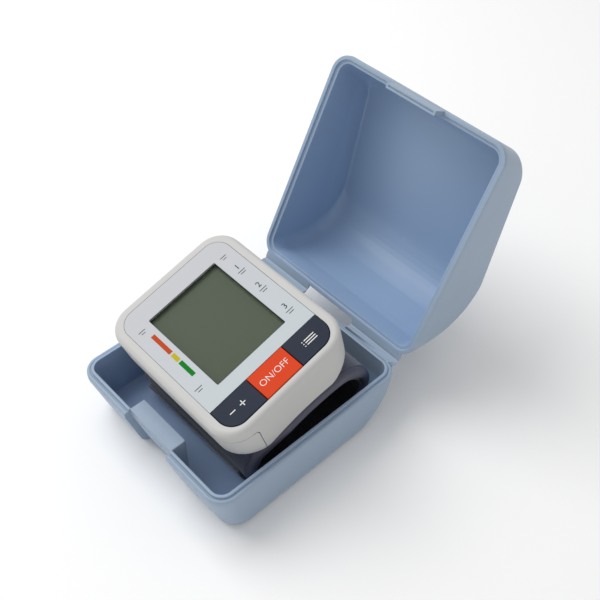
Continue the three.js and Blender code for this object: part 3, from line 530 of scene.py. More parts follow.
def drawUp(name, stack):
    # a filled circle is extruded ring by ring, and each new ring's points are set in place
    clearSelection()
    count = len(stack[0])
    bpy.ops.mesh.primitive_circle_add(vertices=count, radius=1, fill_type="NGON")
    piece = bpy.context.object
    piece.name = name
    order = piece.data.attributes.new("order", "INT", "POINT")
    order.data.foreach_set("value", list(range(count)))
    for vert, point in zip(piece.data.vertices, stack[0]):
        vert.co = point
    bpy.ops.object.mode_set(mode="EDIT")
    bpy.ops.mesh.select_mode(type="FACE")
    bpy.ops.mesh.select_all(action="SELECT")
    for ring in stack[1:]:
        bpy.ops.mesh.extrude_region_move()
        edit = bmesh.from_edit_mesh(piece.data)
        layer = edit.verts.layers.int["order"]
        for vert in edit.verts:
            if vert.select:
                vert.co = ring[vert[layer]]
        bmesh.update_edit_mesh(piece.data)
    wholeMesh(piece, bpy.ops.mesh.remove_doubles, threshold=rings["merge"])
    faceOutwards(piece)
    piece.data.attributes.remove(piece.data.attributes["order"])
    return piece


# Storage case: base

lean = math.radians
caseBase = {
    "halfWidth": 47.5, "halfDepth": 50.75, "corner": 8.5, "wall": 3.5, "floor": 2.2,
    "rim": 28.25, "band": 3, "lipTop": 29.15, "lipWidth": 1.4,
    # each wall's lean, its fillet at the floor, and the fillet's steps: side, front, then back
    "outer": {"side": (lean(2), 4, 6), "front": (lean(15), 7, 7), "back": (lean(11), 25, 14)},
    "inner": {"side": (lean(1), 0.8, 3), "front": (lean(15), 3.5, 6), "back": (lean(5.5), 21.5, 12)},
    # beads from the outer wall and the rim, from the lip's foot and the rim, then from either side of the lip
    "rimBeads": [(0, -1.1), (0.06, -0.75), (0.24, -0.4), (0.52, -0.14), (0.9, 0), (1.2, -0.04),
                 (1.42, -0.2), (1.55, -0.42)],
    "grooveBeads": [(-0.1, -0.42), (0, -0.3)],
    "lipOuter": [(0, -0.5), (0.12, -0.17), (0.42, 0)],
    "lipInner": [(-0.42, 0), (-0.12, -0.15), (0, -0.5)],
    # the painted bounce light, a bluer copy of the case colour on the inner faces, stops this far inside the
    # outer wall; edges sharper than this are rounded
    "paintedBounceInset": 4.4, "edgeRound": 0.25, "sharp": 48,
}
latch = {
    "width": 28, "wall": 0.6, "ledgeDepth": 6.9, "ledgeDrop": 26.4, "ledgeCorner": 0.7, "ledgeRound": 0.5,
    "ridgeReach": 0.4, "ridgeRoot": 1.2, "ridgeLow": 3.8, "ridgeHigh": 3, "ridgeRound": 0.39,
}
hingeLeaf = {"thickness": 1, "span": 87, "gap": 28.5, "root": 1.2, "end": 52.45}
caseSizes = (caseBase["halfWidth"], caseBase["halfDepth"], caseBase["corner"])


def shifted(beads, inward, height):
    # a bead is how far in from the outer wall, and how high
    return [(inward + across, height + up) for across, up in beads]


def beadRings(beads):
    wide, deep, corner = caseSizes
    return [roundedRing(*(size - inward for size in (wide, deep, deep, corner)), height)
            for inward, height in beads]


def addLeaves(piece, name, low):
    leaf = hingeLeaf
    for side in (-1, 1):
        start, end = sorted((side * leaf["gap"] / 2, side * leaf["span"] / 2))
        cut(piece, block(name, (start, caseBase["halfDepth"] - leaf["root"], low),
                         (end, leaf["end"], low + leaf["thickness"])), "UNION")


def paintBounceInside(piece, drawing, height, inset, finish, slotEnd=0):
    # the faces that look towards the middle of the hollow, and lie inside its wall, get painted bounce light:
    # a bluer copy of the case colour; the end walls of the latch's slot look that way too, but keep the outer
    # one
    toDrawing = (toMetres @ drawings[drawing]).inverted()
    turned = toDrawing.to_3x3()
    piece.data.materials.append(finishes[finish].material)
    for face in piece.data.polygons:
        inward = Vector((0, 0, height)) - toDrawing @ face.center
        outlook = (turned @ face.normal).normalized()
        atSlotEnd = slotEnd > 0 and abs(abs(inward.x) - slotEnd) < 0.3 and abs(outlook.x) > 0.9
        if abs(inward.y) < caseBase["halfDepth"] - inset and not atSlotEnd and inward.dot(outlook) > 0:
            face.material_index = 1


def makeLatchLedge(outer):
    # the block behind the slot, kept within the case's outer form
    half, corner, top = latch["width"] / 2, latch["ledgeCorner"], caseBase["lipTop"]
    innerFront = caseBase["wall"] - caseBase["halfDepth"]
    ledge = plate("latchLedge", -half, half, innerFront - caseBase["wall"] / 2,
                  innerFront + latch["ledgeDepth"], caseBase["rim"] - latch["ledgeDrop"], top,
                  (0, 0, corner, corner))
    cut(ledge, drawUp("outerForm", outer[:-1] + beadRings([(0, top + 1)])), "INTERSECT")
    bevelTop(ledge, top, latch["ledgeRound"], 3)
    return ledge


def cutLatchSlot(piece, recess):
    # upright through the band, then leaning as the front wall does, down to the floor
    half, rim = latch["width"] / 2, caseBase["rim"]
    outside, bandLow = -caseBase["halfDepth"] - past, rim - caseBase["band"]
    cut(piece, block("latchSlot", (-half, outside, bandLow), (half, recess, caseBase["lipTop"] + past)))
    deepSlot = block("deepSlot", (-half, outside, -past), (half, recess, bandLow))
    pick(deepSlot, "VERT", lambda vert: vert.co.y > recess - near and vert.co.z < 0)
    bpy.ops.transform.translate(value=(0, (bandLow + past) * math.tan(caseBase["outer"]["front"][0]), 0))
    bpy.ops.object.mode_set(mode="OBJECT")
    cut(piece, deepSlot)
    ridge = block("snapRidge", (-half / 2, recess - latch["ridgeReach"], rim - latch["ridgeLow"]),
                  (half / 2, recess + latch["ridgeRoot"], rim - latch["ridgeHigh"]))
    bevelEdges(ridge, lambda edge: all(v.co.y < recess for v in edge.verts), latch["ridgeRound"], 2)
    cut(piece, ridge, "UNION")


def makeCaseBase():
    base = caseBase
    wall, rim, lipTop = base["wall"], base["rim"], base["lipTop"]
    outer = trayRings(base["outer"], *caseSizes, 0, rim, base["band"])
    inner = trayRings(base["inner"], *(size - wall for size in caseSizes), base["floor"], rim, base["band"])
    lip = wall - base["lipWidth"]
    beads = shifted(base["rimBeads"], 0, rim) + shifted(base["grooveBeads"], lip, rim)
    beads += shifted(base["lipOuter"], lip, lipTop) + shifted(base["lipInner"], wall, lipTop)
    piece = drawUp("caseBaseShell", outer[:-1] + beadRings(beads) + inner[::-1])
    cut(piece, makeLatchLedge(outer), "UNION")
    cutLatchSlot(piece, wall - base["halfDepth"] - latch["wall"])
    addLeaves(piece, "baseLeaf", rim - hingeLeaf["thickness"])
    facetEdges(piece, base["edgeRound"], base["sharp"])
    settle(piece, "case", "base", "case", ["case_base"])
    # the inner faces get painted bounce light: the case colour made bluer
    paintBounceInside(piece, "case", rim / 2, base["paintedBounceInset"], "basePaintedBounce", latch["width"] / 2)


makeCaseBase()
print("case base modelled")


# Storage case: lid, drawn closed with the parting plane at height zero

caseLid = {
    "height": 38.2, "slope": lean(14.9), "lift": 0.15, "wall": 1.8, "crown": 1.8, "band": 3,
    "outer": {"side": (lean(4.5), 3, 5), "front": (lean(9), 10, 9), "back": (lean(14), 35, 16)},
    "inner": {"side": (lean(4.5), 1.2, 4), "front": (lean(9), 8.2, 8), "back": (lean(14), 33.2, 15)},
    # the rim's flat is rounded at both sides; the rebate behind it takes the base's lip
    "mouthWall": 3.5, "rebate": 1.2, "rebateCove": [(0, -0.2), (0.2, 0)],
    "rimOuter": [(0, 0.45), (0.12, 0.13), (0.42, 0)], "rimInner": [(-0.42, 0), (-0.12, 0.13), (0, 0.45)],
    # the painted bounce light on the lid's inner faces stops this far inside its outer wall
    "paintedBounceInset": 1.7, "edgeRound": 0.22,
}
latchTab = {
    "inner": -48.55, "thickness": 2, "reach": 6.5, "root": 3, "half": 13.3,
    "hookRoot": 0.6, "hookReach": 0.4, "hookHeight": 0.8, "hookRound": 0.38,
    "grooveHalf": 0.3, "grooveDepth": 0.5, "grooveEnd": 1,
}


def lidSlopeAt(y):
    return 1 + math.tan(caseLid["slope"]) * y / caseLid["height"]


def makeLatchTab():
    # the tab on the lid's rim, with a hook inside and a groove in its tip
    tab = latchTab
    half, inside, lift = tab["half"], tab["inner"], caseLid["lift"]
    tip = lift - tab["reach"]
    piece = block("latchTab", (-half, inside - tab["thickness"], tip), (half, inside, lift + tab["root"]))
    hook = block("latchHook", (-half, inside - tab["hookRoot"], tip),
                 (half, inside + tab["hookReach"], tip + tab["hookHeight"]))

    def alongHook(edge):
        a, b = (vert.co for vert in edge.verts)
        return min(a.y, b.y) > inside and abs(a.x - b.x) > 1
    bevelEdges(hook, alongHook, tab["hookRound"], 3)
    cut(piece, hook, "UNION")
    half, middle = half - tab["grooveEnd"], inside - tab["thickness"] / 2
    cut(piece, block("tipGroove", (-half, middle - tab["grooveHalf"], tip - past),
                     (half, middle + tab["grooveHalf"], tip + tab["grooveDepth"])))
    return piece


def makeCaseLid():
    lid = caseLid
    wall, mouth, rebate, top = lid["wall"], lid["mouthWall"], lid["rebate"], lid["height"]
    outer = trayRings(lid["outer"], *caseSizes, 0, top, lid["band"])
    inner = trayRings(lid["inner"], *(size - wall for size in caseSizes),
                      lid["crown"], top, lid["band"], mouth - wall)
    beads = lid["rimOuter"] + shifted(lid["rimInner"], wall, 0)
    beads += shifted(lid["rebateCove"], wall, rebate) + shifted(lid["rimInner"], mouth, rebate)
    rims = beadRings(beads)
    for ring in rims:
        for point in ring:
            point.z = top - point.z / lidSlopeAt(point.y)
    piece = drawUp("caseLidShell", outer[:-1] + rims + inner[-2::-1])
    for vert in piece.data.vertices:  # turned over, with a crown that slopes down to the front
        x, y, z = vert.co
        vert.co = (-x, y, lid["lift"] + (top - z) * lidSlopeAt(y))
    faceOutwards(piece)
    cut(piece, makeLatchTab(), "UNION")
    addLeaves(piece, "lidLeaf", lid["lift"])
    facetEdges(piece, lid["edgeRound"], caseBase["sharp"])
    settle(piece, "lid", "lid", "case", ["case_lid"])
    # the lid's inner faces get painted bounce light: the case colour made bluer
    paintBounceInside(piece, "lid", top / 2, lid["paintedBounceInset"], "lidPaintedBounce")


makeCaseLid()
print("case lid modelled")


# Living hinge: thin webs that bend between the two leaves

hingeFilm = {
    "thickness": 0.4, "width": 29.2, "middle": 28.875, "steps": 14, "leafInset": 0.7, "leafDrop": 0.65,
    "handle": 0.6, "thinning": 0.45, "edgeRound": 0.08,
}


def makeHingeFilm(name, side, node):
    film = hingeFilm
    half, thick, middle = film["width"] / 2, film["thickness"] / 2, side * film["middle"]
    turn = Matrix.Rotation(lidTurn, 3, "X")
    start = Vector((0, -film["leafInset"], -film["leafDrop"]))
    end = turn @ Vector((0, -film["leafInset"], film["leafDrop"]))
    handle = Vector((0, film["handle"], 0))
    points = [start, start + handle, end + turn @ handle, end]
    piece = block(name, (middle - half, -0.5, -thick), (middle + half, 0.5, thick))
    wholeMesh(piece, bpy.ops.mesh.subdivide, number_cuts=film["steps"])
    for vert in piece.data.vertices:  # laid along a curve from the base's leaf to the lid's
        share = vert.co.y + 0.5
        row = points
        while len(row) > 2:
            row = [before.lerp(after, share) for before, after in zip(row, row[1:])]
        spot = row[0].lerp(row[1], share)
        slope = (row[1] - row[0]).normalized()
        thin = 1 - film["thinning"] * math.sin(math.pi * share)
        spot += Vector((0, -slope.z, slope.y)) * vert.co.z * thin
        vert.co = Vector((vert.co.x, spot.y, spot.z)) + hingeLine
    facetEdges(piece, film["edgeRound"])
    piece.data.transform(toMetres)
    dress(piece, "case")
    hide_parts(node)
    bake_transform(piece)


makeHingeFilm("hingeFilmLeft", -1, "hinge_film_left")
makeHingeFilm("hingeFilmRight", 1, "hinge_film_right")
print("living hinge modelled")


# Monitor housing, drawn with the face centre at the origin and the display looking up

housing = {
    "halfWidth": 33.1, "halfLength": 40.5, "depth": 26.5, "corner": 11.5, "wall": 1.8, "faceWall": 2,
    "faceEdge": 2.2, "edgeSteps": 8, "draft": lean(1.5), "rearWall": 2.2, "archRise": 3.6, "archSpan": 50,
    "sideFillet": 10, "sideSteps": 9, "endFillet": 2.4, "endSteps": 4, "leastFillet": 0.3,
    "seam": 0.3, "edgeRound": 0.18, "sharp": 50,
    "plateHalf": 23.1, "plateEnd": 37.41, "plateRoom": 0.3,
    "doorTop": 6.8, "doorRight": -19.5, "doorBack": 17.16, "doorCorner": 3,
    "panelHalf": 28.6, "panelCorner": 7.7, "panelBack": 36.6, "panelSink": 0.6, "panelRoom": 0.3,
    "wellFront": -37.5, "wellBack": -24.2, "wellDepth": 4,
    "windowHalf": 18.45, "windowFront": -17.6, "windowBack": 27.2, "windowCorner": 0.6,
    # how much wider than the window, and how deep: the hole, then the pocket for the lens
    "windowCuts": [("windowHole", 0.6, 4), ("lensPocket", 1.8, 1.5)],
}
archRadius = (housing["archSpan"] ** 2 / 4 + housing["archRise"] ** 2) / (2 * housing["archRise"])
archMiddle = housing["archRise"] - housing["depth"] - archRadius


def housingForm(name, inset, bottom, top):
    form = housing
    side = (form["draft"], max(form["sideFillet"] - inset, form["leastFillet"]), form["sideSteps"])
    end = (form["draft"], max(form["endFillet"] - inset, form["leastFillet"]), form["endSteps"])
    edge = form["faceEdge"] if inset == 0 else 0
    half, length, corner = form["halfWidth"] - inset, form["halfLength"] - inset, form["corner"] - inset
    stack = trayRings({"side": side, "front": end, "back": end}, half, length, corner, bottom, top - edge, 0)
    if edge:
        for step in range(1, form["edgeSteps"] + 1):
            angle = step / form["edgeSteps"] * math.pi / 2
            drawn = edge * (1 - math.cos(angle))
            stack.append(roundedRing(half - drawn, length - drawn, length - drawn, corner - drawn,
                                     top - edge * (1 - math.sin(angle))))
    return drawUp(name, stack)


def archBar(offset):
    # a long bar that leaves the wrist's arch when it is cut away
    clearSelection()
    bpy.ops.mesh.primitive_cylinder_add(vertices=360, radius=archRadius + offset, depth=100,
                                        location=(0, 0, archMiddle), rotation=(math.pi / 2, 0, 0))
    bpy.ops.object.transform_apply()
    return bpy.context.object


def makeHousingShell():
    form = housing
    shell = housingForm("housingShell", 0, -form["depth"], 0)
    cut(shell, archBar(0))
    hollow = housingForm("housingHollow", form["wall"], form["rearWall"] - form["depth"], -form["faceWall"])
    cut(hollow, archBar(form["rearWall"]))
    cut(shell, hollow)
    return shell


def doorRegion(gap):
    # the housing's lower left corner, grown by the gap
    form = housing
    region = block("doorRegion", [-form[reach] - past for reach in ("halfWidth", "halfLength", "depth")],
                   (form["doorRight"] + gap, form["doorBack"] + gap, gap - form["doorTop"]))

    def topRight(edge):
        a, b = (vert.co for vert in edge.verts)
        level = abs(a.x - b.x) < near and abs(a.z - b.z) < near
        return level and a.z > -form["doorTop"] - 1 and a.x > form["doorRight"] - 1
    bevelEdges(region, topRight, form["doorCorner"], 8)
    return region


def windowPlate(name, grow, low, high, corner):
    form = housing
    return plate(name, -form["windowHalf"] - grow, form["windowHalf"] + grow, form["windowFront"] - grow,
                 form["windowBack"] + grow, low, high, (corner,) * 4, 4)


def cutFace(front):
    # the panel's recess, the key well, the window and the lens pocket
    form = housing
    half, corner, wellBack = form["panelHalf"], form["panelCorner"], form["wellBack"]
    cut(front, plate("panelRecess", -half, half, wellBack - form["panelRoom"], form["panelBack"],
                     -form["panelSink"], past, (0, 0, corner, corner)))
    cut(front, plate("keyWell", -half, half, form["wellFront"], wellBack,
                     -form["wellDepth"], past, (corner, corner, 0, 0)))
    for name, grow, depth in form["windowCuts"]:
        cut(front, windowPlate(name, grow, -depth, past, 0))


def makeHousing():
    form = housing
    seam = form["seam"] / 2
    shell = makeHousingShell()
    door = copyOf(shell, "batteryDoor")
    front = copyOf(shell, "frontHousing")
    bpy.data.objects.remove(shell)

    cut(door, doorRegion(-seam), "INTERSECT")
    facetEdges(door, form["edgeRound"], form["sharp"])
    settle(door, "monitor", "battery_door", "housing", ["battery_cover"])

    cut(front, doorRegion(seam))
    plateHalf, plateEnd = form["plateHalf"] + seam, form["plateEnd"] + seam
    plateTop = form["archRise"] + form["rearWall"] + form["plateRoom"] - form["depth"]
    plateTool = block("plateTool", (-plateHalf, -plateEnd, -form["depth"] - past),
                      (plateHalf, plateEnd, plateTop))
    cut(plateTool, doorRegion(seam))
    cut(front, plateTool)
    cutFace(front)
    facetEdges(front, form["edgeRound"], form["sharp"])
    settle(front, "monitor", "monitor", "housing", ["front_housing"])


makeHousing()
print("housing modelled")


# Face panel and display

facePanel = {"gap": 0.15, "thickness": 0.5, "edgeRound": 0.1, "cornerSteps": 14}
# how much wider than the window, from which height to which, and the edge's round
displayPlates = {
    "displayLens": (1.5, -1.4, -0.8, 0.08, "lens", "lens_plastic", "lcd_lens"),
    "displayCell": (2, -4.3, -2.3, 0.15, "display", "display_glass", "lcd_cell"),
}


def makeFacePanel():
    form = housing
    gap = facePanel["gap"]
    edge, corner = form["panelHalf"] - gap, form["panelCorner"] - gap
    panel = plate("facePanel", -edge, edge, form["wellBack"], form["panelBack"] - gap,
                  -facePanel["thickness"], 0, (0, 0, corner, corner), facePanel["cornerSteps"])
    cut(panel, windowPlate("windowCut", 0, -past, past, form["windowCorner"]))
    facetEdges(panel, facePanel["edgeRound"], form["sharp"])
    settle(panel, "monitor", "monitor", "panel", ["face_panel"])
    for name, (grow, low, high, edgeRound, finish, slot, node) in displayPlates.items():
        piece = windowPlate(name, grow, low, high, form["windowCorner"])
        facetEdges(piece, edgeRound)
        settle(piece, "monitor", "monitor", finish, [node])


makeFacePanel()


# Keys: a cap over a flange, with a stem that meets the key mat

keys = {
    "front": -37.2, "back": -24.5, "low": -3.1, "top": 0.25, "corner": 7.4, "cornerSteps": 14,
    "width": 18.66, "pitch": 18.96, "edgeRound": 0.28,
    "flangeTop": -2.3, "flangeReach": 0.9, "flangeInset": 0.75,
    "stemLow": -5.1, "stemHeight": 2.3, "stemRadius": 2,
}
keyMiddle = (keys["front"] + keys["back"]) / 2


def makeKey(name, place, body, finish, node):
    row = keys
    middle = place * row["pitch"]
    left, right = middle - row["width"] / 2, middle + row["width"] / 2
    radii = (row["corner"] * (place < 0), row["corner"] * (place > 0), 0, 0)
    cap = plate(name, left, right, row["front"], row["back"], row["low"], row["top"],
                radii, row["cornerSteps"])
    bevelTop(cap, row["top"], row["edgeRound"], 4)
    inset = row["corner"] * row["flangeInset"]
    flange = block("keyFlange", (left + inset * (place < 0), row["front"] - row["flangeReach"], row["low"]),
                   (right - inset * (place > 0), row["back"] + row["flangeReach"], row["flangeTop"]))
    cut(cap, flange, "UNION")
    clearSelection()
    bpy.ops.mesh.primitive_cylinder_add(vertices=32, radius=row["stemRadius"], depth=row["stemHeight"])
    stem = bpy.context.object
    stem.data.transform(Matrix.Translation((middle, keyMiddle, row["stemLow"] + row["stemHeight"] / 2)))
    cut(cap, stem, "UNION")
    smoothShade(cap)
    settle(cap, "monitor", body, finish, [node])


makeKey("leftKey", -1, "set_key", "darkKey", "button_set")
makeKey("middleKey", 0, "on_off_key", "orangeKey", "button_on_off")
makeKey("rightKey", 1, "mem_key", "darkKey", "button_mem")
print("panel, display and keys modelled")


# Printed marks: thin raised ink on the panel and the keys

printed = {
    # what each mark is printed on: its body, its slot and its height
    "panel": ("monitor", "panel_plastic", 0),
    "leftKey": ("set_key", "dark_keys", keys["top"]),
    "middleKey": ("on_off_key", "orange_key", keys["top"]),
    "rightKey": ("mem_key", "dark_keys", keys["top"]),
}
ink = {"height": 0.03, "cornerRound": 0.08, "curveSteps": 4}
marks = {
    # the coloured scale: each bar's middle and half length
    "barPlace": -21.8, "barHalf": 1,
    "bars": [("riseBar", "inkRed", 14.1, 6.1), ("middleBar", "inkYellow", 4.95, 2.15),
             ("restBar", "inkGreen", -2.4, 4.4)],
    # under each number two ticks: half their length, and how far below
    "numbers": [("1", 17.6), ("2", 4), ("3", -12)], "numberPlace": 23.3, "numberSize": 3.9,
    "numberWeight": 0.02, "numberTicks": [(1.9, 2.74), (1.3, 3.99)], "tickHalf": 0.16,
    # ticks at the panel's edges: middle, height and half length, each with a shorter one below
    "edgeTicks": [("topTick", 22.8, 26.36, 1.6), ("upperTick", -23.6, 25.36, 1.7),
                  ("lowerTick", -24.5, -12.64, 1.9)],
    "shortShare": 0.6, "shortDrop": 1.31, "shortHalf": 0.15,
    "switchSize": 4.1, "switchWeight": -0.05,
    # from the middle of the key: place, half width and, for the signs, half height
    "signs": [("minusMark", -3.2, 1.4, 0.2), ("plusMarkAcross", 2, 1.4, 0.2), ("plusMarkUp", 2, 0.2, 1.4)],
    "listParts": [("listMark", 0.7, 2.7), ("listDot", -2.95, 0.25)], "listPitch": 1.15, "listHalf": 0.2,
}


def inkBlock(name, place, finish, x, y, wide, tall):
    # wide and tall are half the mark's width and height
    body, slot, height = printed[place]
    mark = block(name, (x - wide, y - tall, height), (x + wide, y + tall, height + ink["height"]))
    bevelEdges(mark, isUpright, ink["cornerRound"], 2)
    settle(mark, "monitor", body, finish)


def inkText(name, words, place, finish, x, y, size, weight):
    body, slot, height = printed[place]
    clearSelection()
    bpy.ops.object.text_add(location=(0, 0, 0))
    text = bpy.context.object.data
    text.body = words
    text.size = size
    text.align_x = "CENTER"
    text.align_y = "CENTER"
    text.extrude = ink["height"] / 2
    text.offset = weight
    text.resolution_u = ink["curveSteps"]
    bpy.ops.object.convert(target="MESH")
    mark = bpy.context.object
    mark.name = name
    mark.data.transform(Matrix.Translation((x, y, height + ink["height"] / 2)))
    settle(mark, "monitor", body, finish)


def printPanel():
    for name, finish, y, half in marks["bars"]:
        inkBlock(name, "panel", finish, marks["barPlace"], y, marks["barHalf"], half)
    x, thick = marks["numberPlace"], marks["tickHalf"]
    for words, y in marks["numbers"]:
        inkText("number" + words, words, "panel", "inkGrey", x, y, marks["numberSize"], marks["numberWeight"])
        for line, (half, drop) in enumerate(marks["numberTicks"]):
            inkBlock(f"tick{words}{line}", "panel", "inkGrey", x, y - drop, half, thick)
    for name, x, y, half in marks["edgeTicks"]:
        inkBlock(name, "panel", "inkGrey", x, y, half, thick)
        inkBlock(name + "Short", "panel", "inkGrey", x, y - marks["shortDrop"],
                 half * marks["shortShare"], marks["shortHalf"])


def printKeys():
    inkText("onOffMark", "ON/OFF", "middleKey", "inkWhite", 0, keyMiddle,
            marks["switchSize"], marks["switchWeight"])
    for name, x, wide, tall in marks["signs"]:
        inkBlock(name, "leftKey", "inkWhite", x - keys["pitch"], keyMiddle, wide, tall)
    for line in (-1, 0, 1):
        for name, x, wide in marks["listParts"]:
            inkBlock(f"{name}{line + 2}", "rightKey", "inkWhite", x + keys["pitch"],
                     keyMiddle + line * marks["listPitch"], wide, marks["listHalf"])


printPanel()
printKeys()
print("marks printed")


# Cuff, drawn round the rolled outline of its solid

cuff = {
    "around": 240, "smoothing": 6, "sharp": 50, "hem": 3.2, "tapeFrom": 1, "tapeTurn": 0.25,
    # the cloth is this much wider than its solid each side, below and above the heights given
    "spread": (1.6, 3.4), "spreadFrom": 26, "spreadTo": 34,
    # depths below the roll's outside
    "coverInside": 5.6, "liningOutside": 5.2, "liningInside": 6.1,
    "coverEdge": 2.6, "liningEdge": 0.28, "liningHem": 2.5, "liningInset": 1.6,
    # how far the cover swells, and the size, pace and start of the waves in it
    "crown": 0.25, "puckers": [(0.048, 0.9, 0), (0.032, 0.37, 1)],
}
strap = {
    "lift": 0.3, "thickness": 1.3, "edge": 0.5, "hem": 2.2, "start": 3, "underside": 12, "endDrop": 0.6,
    "tipRows": 10, "rootRows": 4, "tipNarrowing": 2.5, "leastEase": 0.02,
}
section = {"edgeSteps": 8, "flatSteps": 22, "stitch": 0.35, "stitchRoom": 0.8, "groove": 0.28}


def rolledOutline(node):
    # the outer loop of the solid's left end, evenly spaced and smoothed, as (y, z) in millimetres
    spots = [vert.co * 1000 for vert in nodes[node].data.vertices]
    left = min(spot.x for spot in spots)
    ends = sorted({(round(s.y, 2), round(s.z, 2)) for s in spots if s.x < left + near})

    def halfHull(points):
        hull = []
        for point in points:
            while len(hull) > 1 and (
                    (hull[-1][0] - hull[-2][0]) * (point[1] - hull[-2][1])
                    - (hull[-1][1] - hull[-2][1]) * (point[0] - hull[-2][0])) <= 0:
                hull.pop()
            hull.append(point)
        return hull[:-1]
    corners = [Vector(point) for point in halfHull(ends) + halfHull(ends[::-1])]
    legs = list(zip(corners, corners[1:] + corners[:1]))
    count = cuff["around"]
    stride = sum((end - start).length for start, end in legs) / count
    even = []
    walked = 0.0
    for start, end in legs:
        length = (end - start).length
        while len(even) < count and len(even) * stride <= walked + length:
            even.append(start.lerp(end, (len(even) * stride - walked) / length))
        walked += length
    for _ in range(cuff["smoothing"]):
        even = [(even[i - 1] + even[i] * 2 + even[(i + 1) % count]) / 4 for i in range(count)]
    return even


def inwardNormals(loop):
    normals = []
    for i in range(len(loop)):
        tangent = (loop[(i + 1) % len(loop)] - loop[i - 1]).normalized()
        normals.append(Vector((-tangent.y, tangent.x)))
    return normals


def mapCloth(mesh, loop, profile, closed):
    # the map runs round the section and along the band, in millimetres
    layer = mesh.uv_layers.new(name="cloth")
    rows, wide = len(loop), len(profile)
    step = sum((loop[i] - loop[i - 1]).length for i in range(1, rows)) / (rows - 1)
    girth = [0.0]
    for j in range(1, wide + 1):
        a, b = profile[j - 1], profile[j % wide]
        girth.append(girth[-1] + math.hypot(a[0] - b[0], a[1] - b[1]))
    for face in mesh.polygons:
        corners = {corner: divmod(mesh.loops[corner].vertex_index, wide) for corner in face.loop_indices}
        crossing = any(j == wide - 1 for i, j in corners.values())
        for corner, (i, j) in corners.items():
            if i == 0 and face.index >= (rows - 1) * wide and closed:
                i = rows
            layer.data[corner].uv = (girth[wide if j == 0 and crossing else j], i * step)


def sewBand(name, loop, normals, profile, closed, finish, node):
    # profile: (x, depth) points round the band's section; every loop point gets one such section
    mesh = bpy.data.meshes.new(name)
    piece = bpy.data.objects.new(name, mesh)
    bpy.context.scene.collection.objects.link(piece)
    verts, faces = [], []
    rows, wide = len(loop), len(profile(0))
    for i, (spot, normal) in enumerate(zip(loop, normals)):
        for x, depth in profile(i):
            point = spot + normal * depth
            verts.append((x, point.x, point.y))
    for i in range(rows if closed else rows - 1):
        after = (i + 1) % rows
        for j in range(wide):
            beside = (j + 1) % wide
            faces.append((i * wide + j, i * wide + beside, after * wide + beside, after * wide + j))
    if not closed:
        faces.append(tuple(range(wide))[::-1])
        faces.append(tuple((rows - 1) * wide + j for j in range(wide)))
    mesh.from_pydata(verts, [], faces)
    mapCloth(mesh, loop, profile(0), closed)
    faceOutwards(piece)
    smoothShade(piece, cuff["sharp"])
    settle(piece, "case", "monitor", finish, [node])
    return piece


def sandwichProfile(left, right, outside, inside, edgeRound, crown, hem):
    # rounded edges, a stitched groove at the hem and a crowned outer face
    half = section["edgeSteps"] // 2
    radius = min(edgeRound, (inside - outside) / 2)
    start, end = right - hem, left + hem
    stitch, room = section["stitch"], section["stitchRoom"]
    flat = (start - end - 2 * room) / section["flatSteps"]
    across = [start + stitch, start, start - stitch]
    across += [start - room - k * flat for k in range(section["flatSteps"] + 1)]
    across += [end + stitch, end, end - stitch]
    points = []
    for x, sign in ((right - radius, 1), (left + radius, -1)):
        for step in range(section["edgeSteps"] + 1):
            angle = math.pi / 2 * (1 - step / half) * sign
            if step == half:
                depth = (outside + inside) / 2
            elif math.sin(angle) > 0:
                depth = outside + radius - radius * math.sin(angle)
            else:
                depth = inside - radius - radius * math.sin(angle)
            points.append((x + sign * radius * math.cos(angle), depth))
        if sign > 0:
            points += [(spot, inside) for spot in across]
            continue
        for spot in across[::-1]:
            share = min(max((spot - end) / (start - end), 0), 1)
            puff = crown * math.sin(math.pi * share) ** 0.5
            groove = section["groove"] if min(abs(spot - end), abs(spot - start)) < near else 0
            points.append((spot, outside - puff + groove))
    return points


def makeCuffCloth(outline, normals):
    low, high = (Vector(corner) * 1000 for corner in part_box("cuff_cover"))
    left, right = low.x, high.x

    def spread(i):
        narrow, wide = cuff["spread"]
        climb = (outline[i].y - cuff["spreadFrom"]) / (cuff["spreadTo"] - cuff["spreadFrom"])
        return narrow + (wide - narrow) * min(max(climb, 0), 1)

    def coverSection(i):
        waves = sum(size * math.sin(i * pace + start) for size, pace, start in cuff["puckers"])
        return sandwichProfile(left - spread(i), right + spread(i), 0, cuff["coverInside"],
                               cuff["coverEdge"], cuff["crown"] + waves, cuff["hem"])

    def liningSection(i):
        inset = cuff["liningInset"] - spread(i)
        return sandwichProfile(left + inset, right - inset, cuff["liningOutside"], cuff["liningInside"],
                               cuff["liningEdge"], 0, cuff["liningHem"])

    cover = sewBand("cuffCover", outline, normals, coverSection, True,
                    "cuffCloth", "cuff_cover")
    cover.data.materials.append(finishes["cuffTape"].material)
    for face in cover.data.polygons:  # the bound edges show as smooth tape
        if abs(face.normal.x) > cuff["tapeTurn"] or abs(face.center.x * 1000) > right - cuff["tapeFrom"]:
            face.material_index = 1
    sewBand("cuffLining", outline, normals, liningSection, True,
            "cuffLining", "cuff_liner")


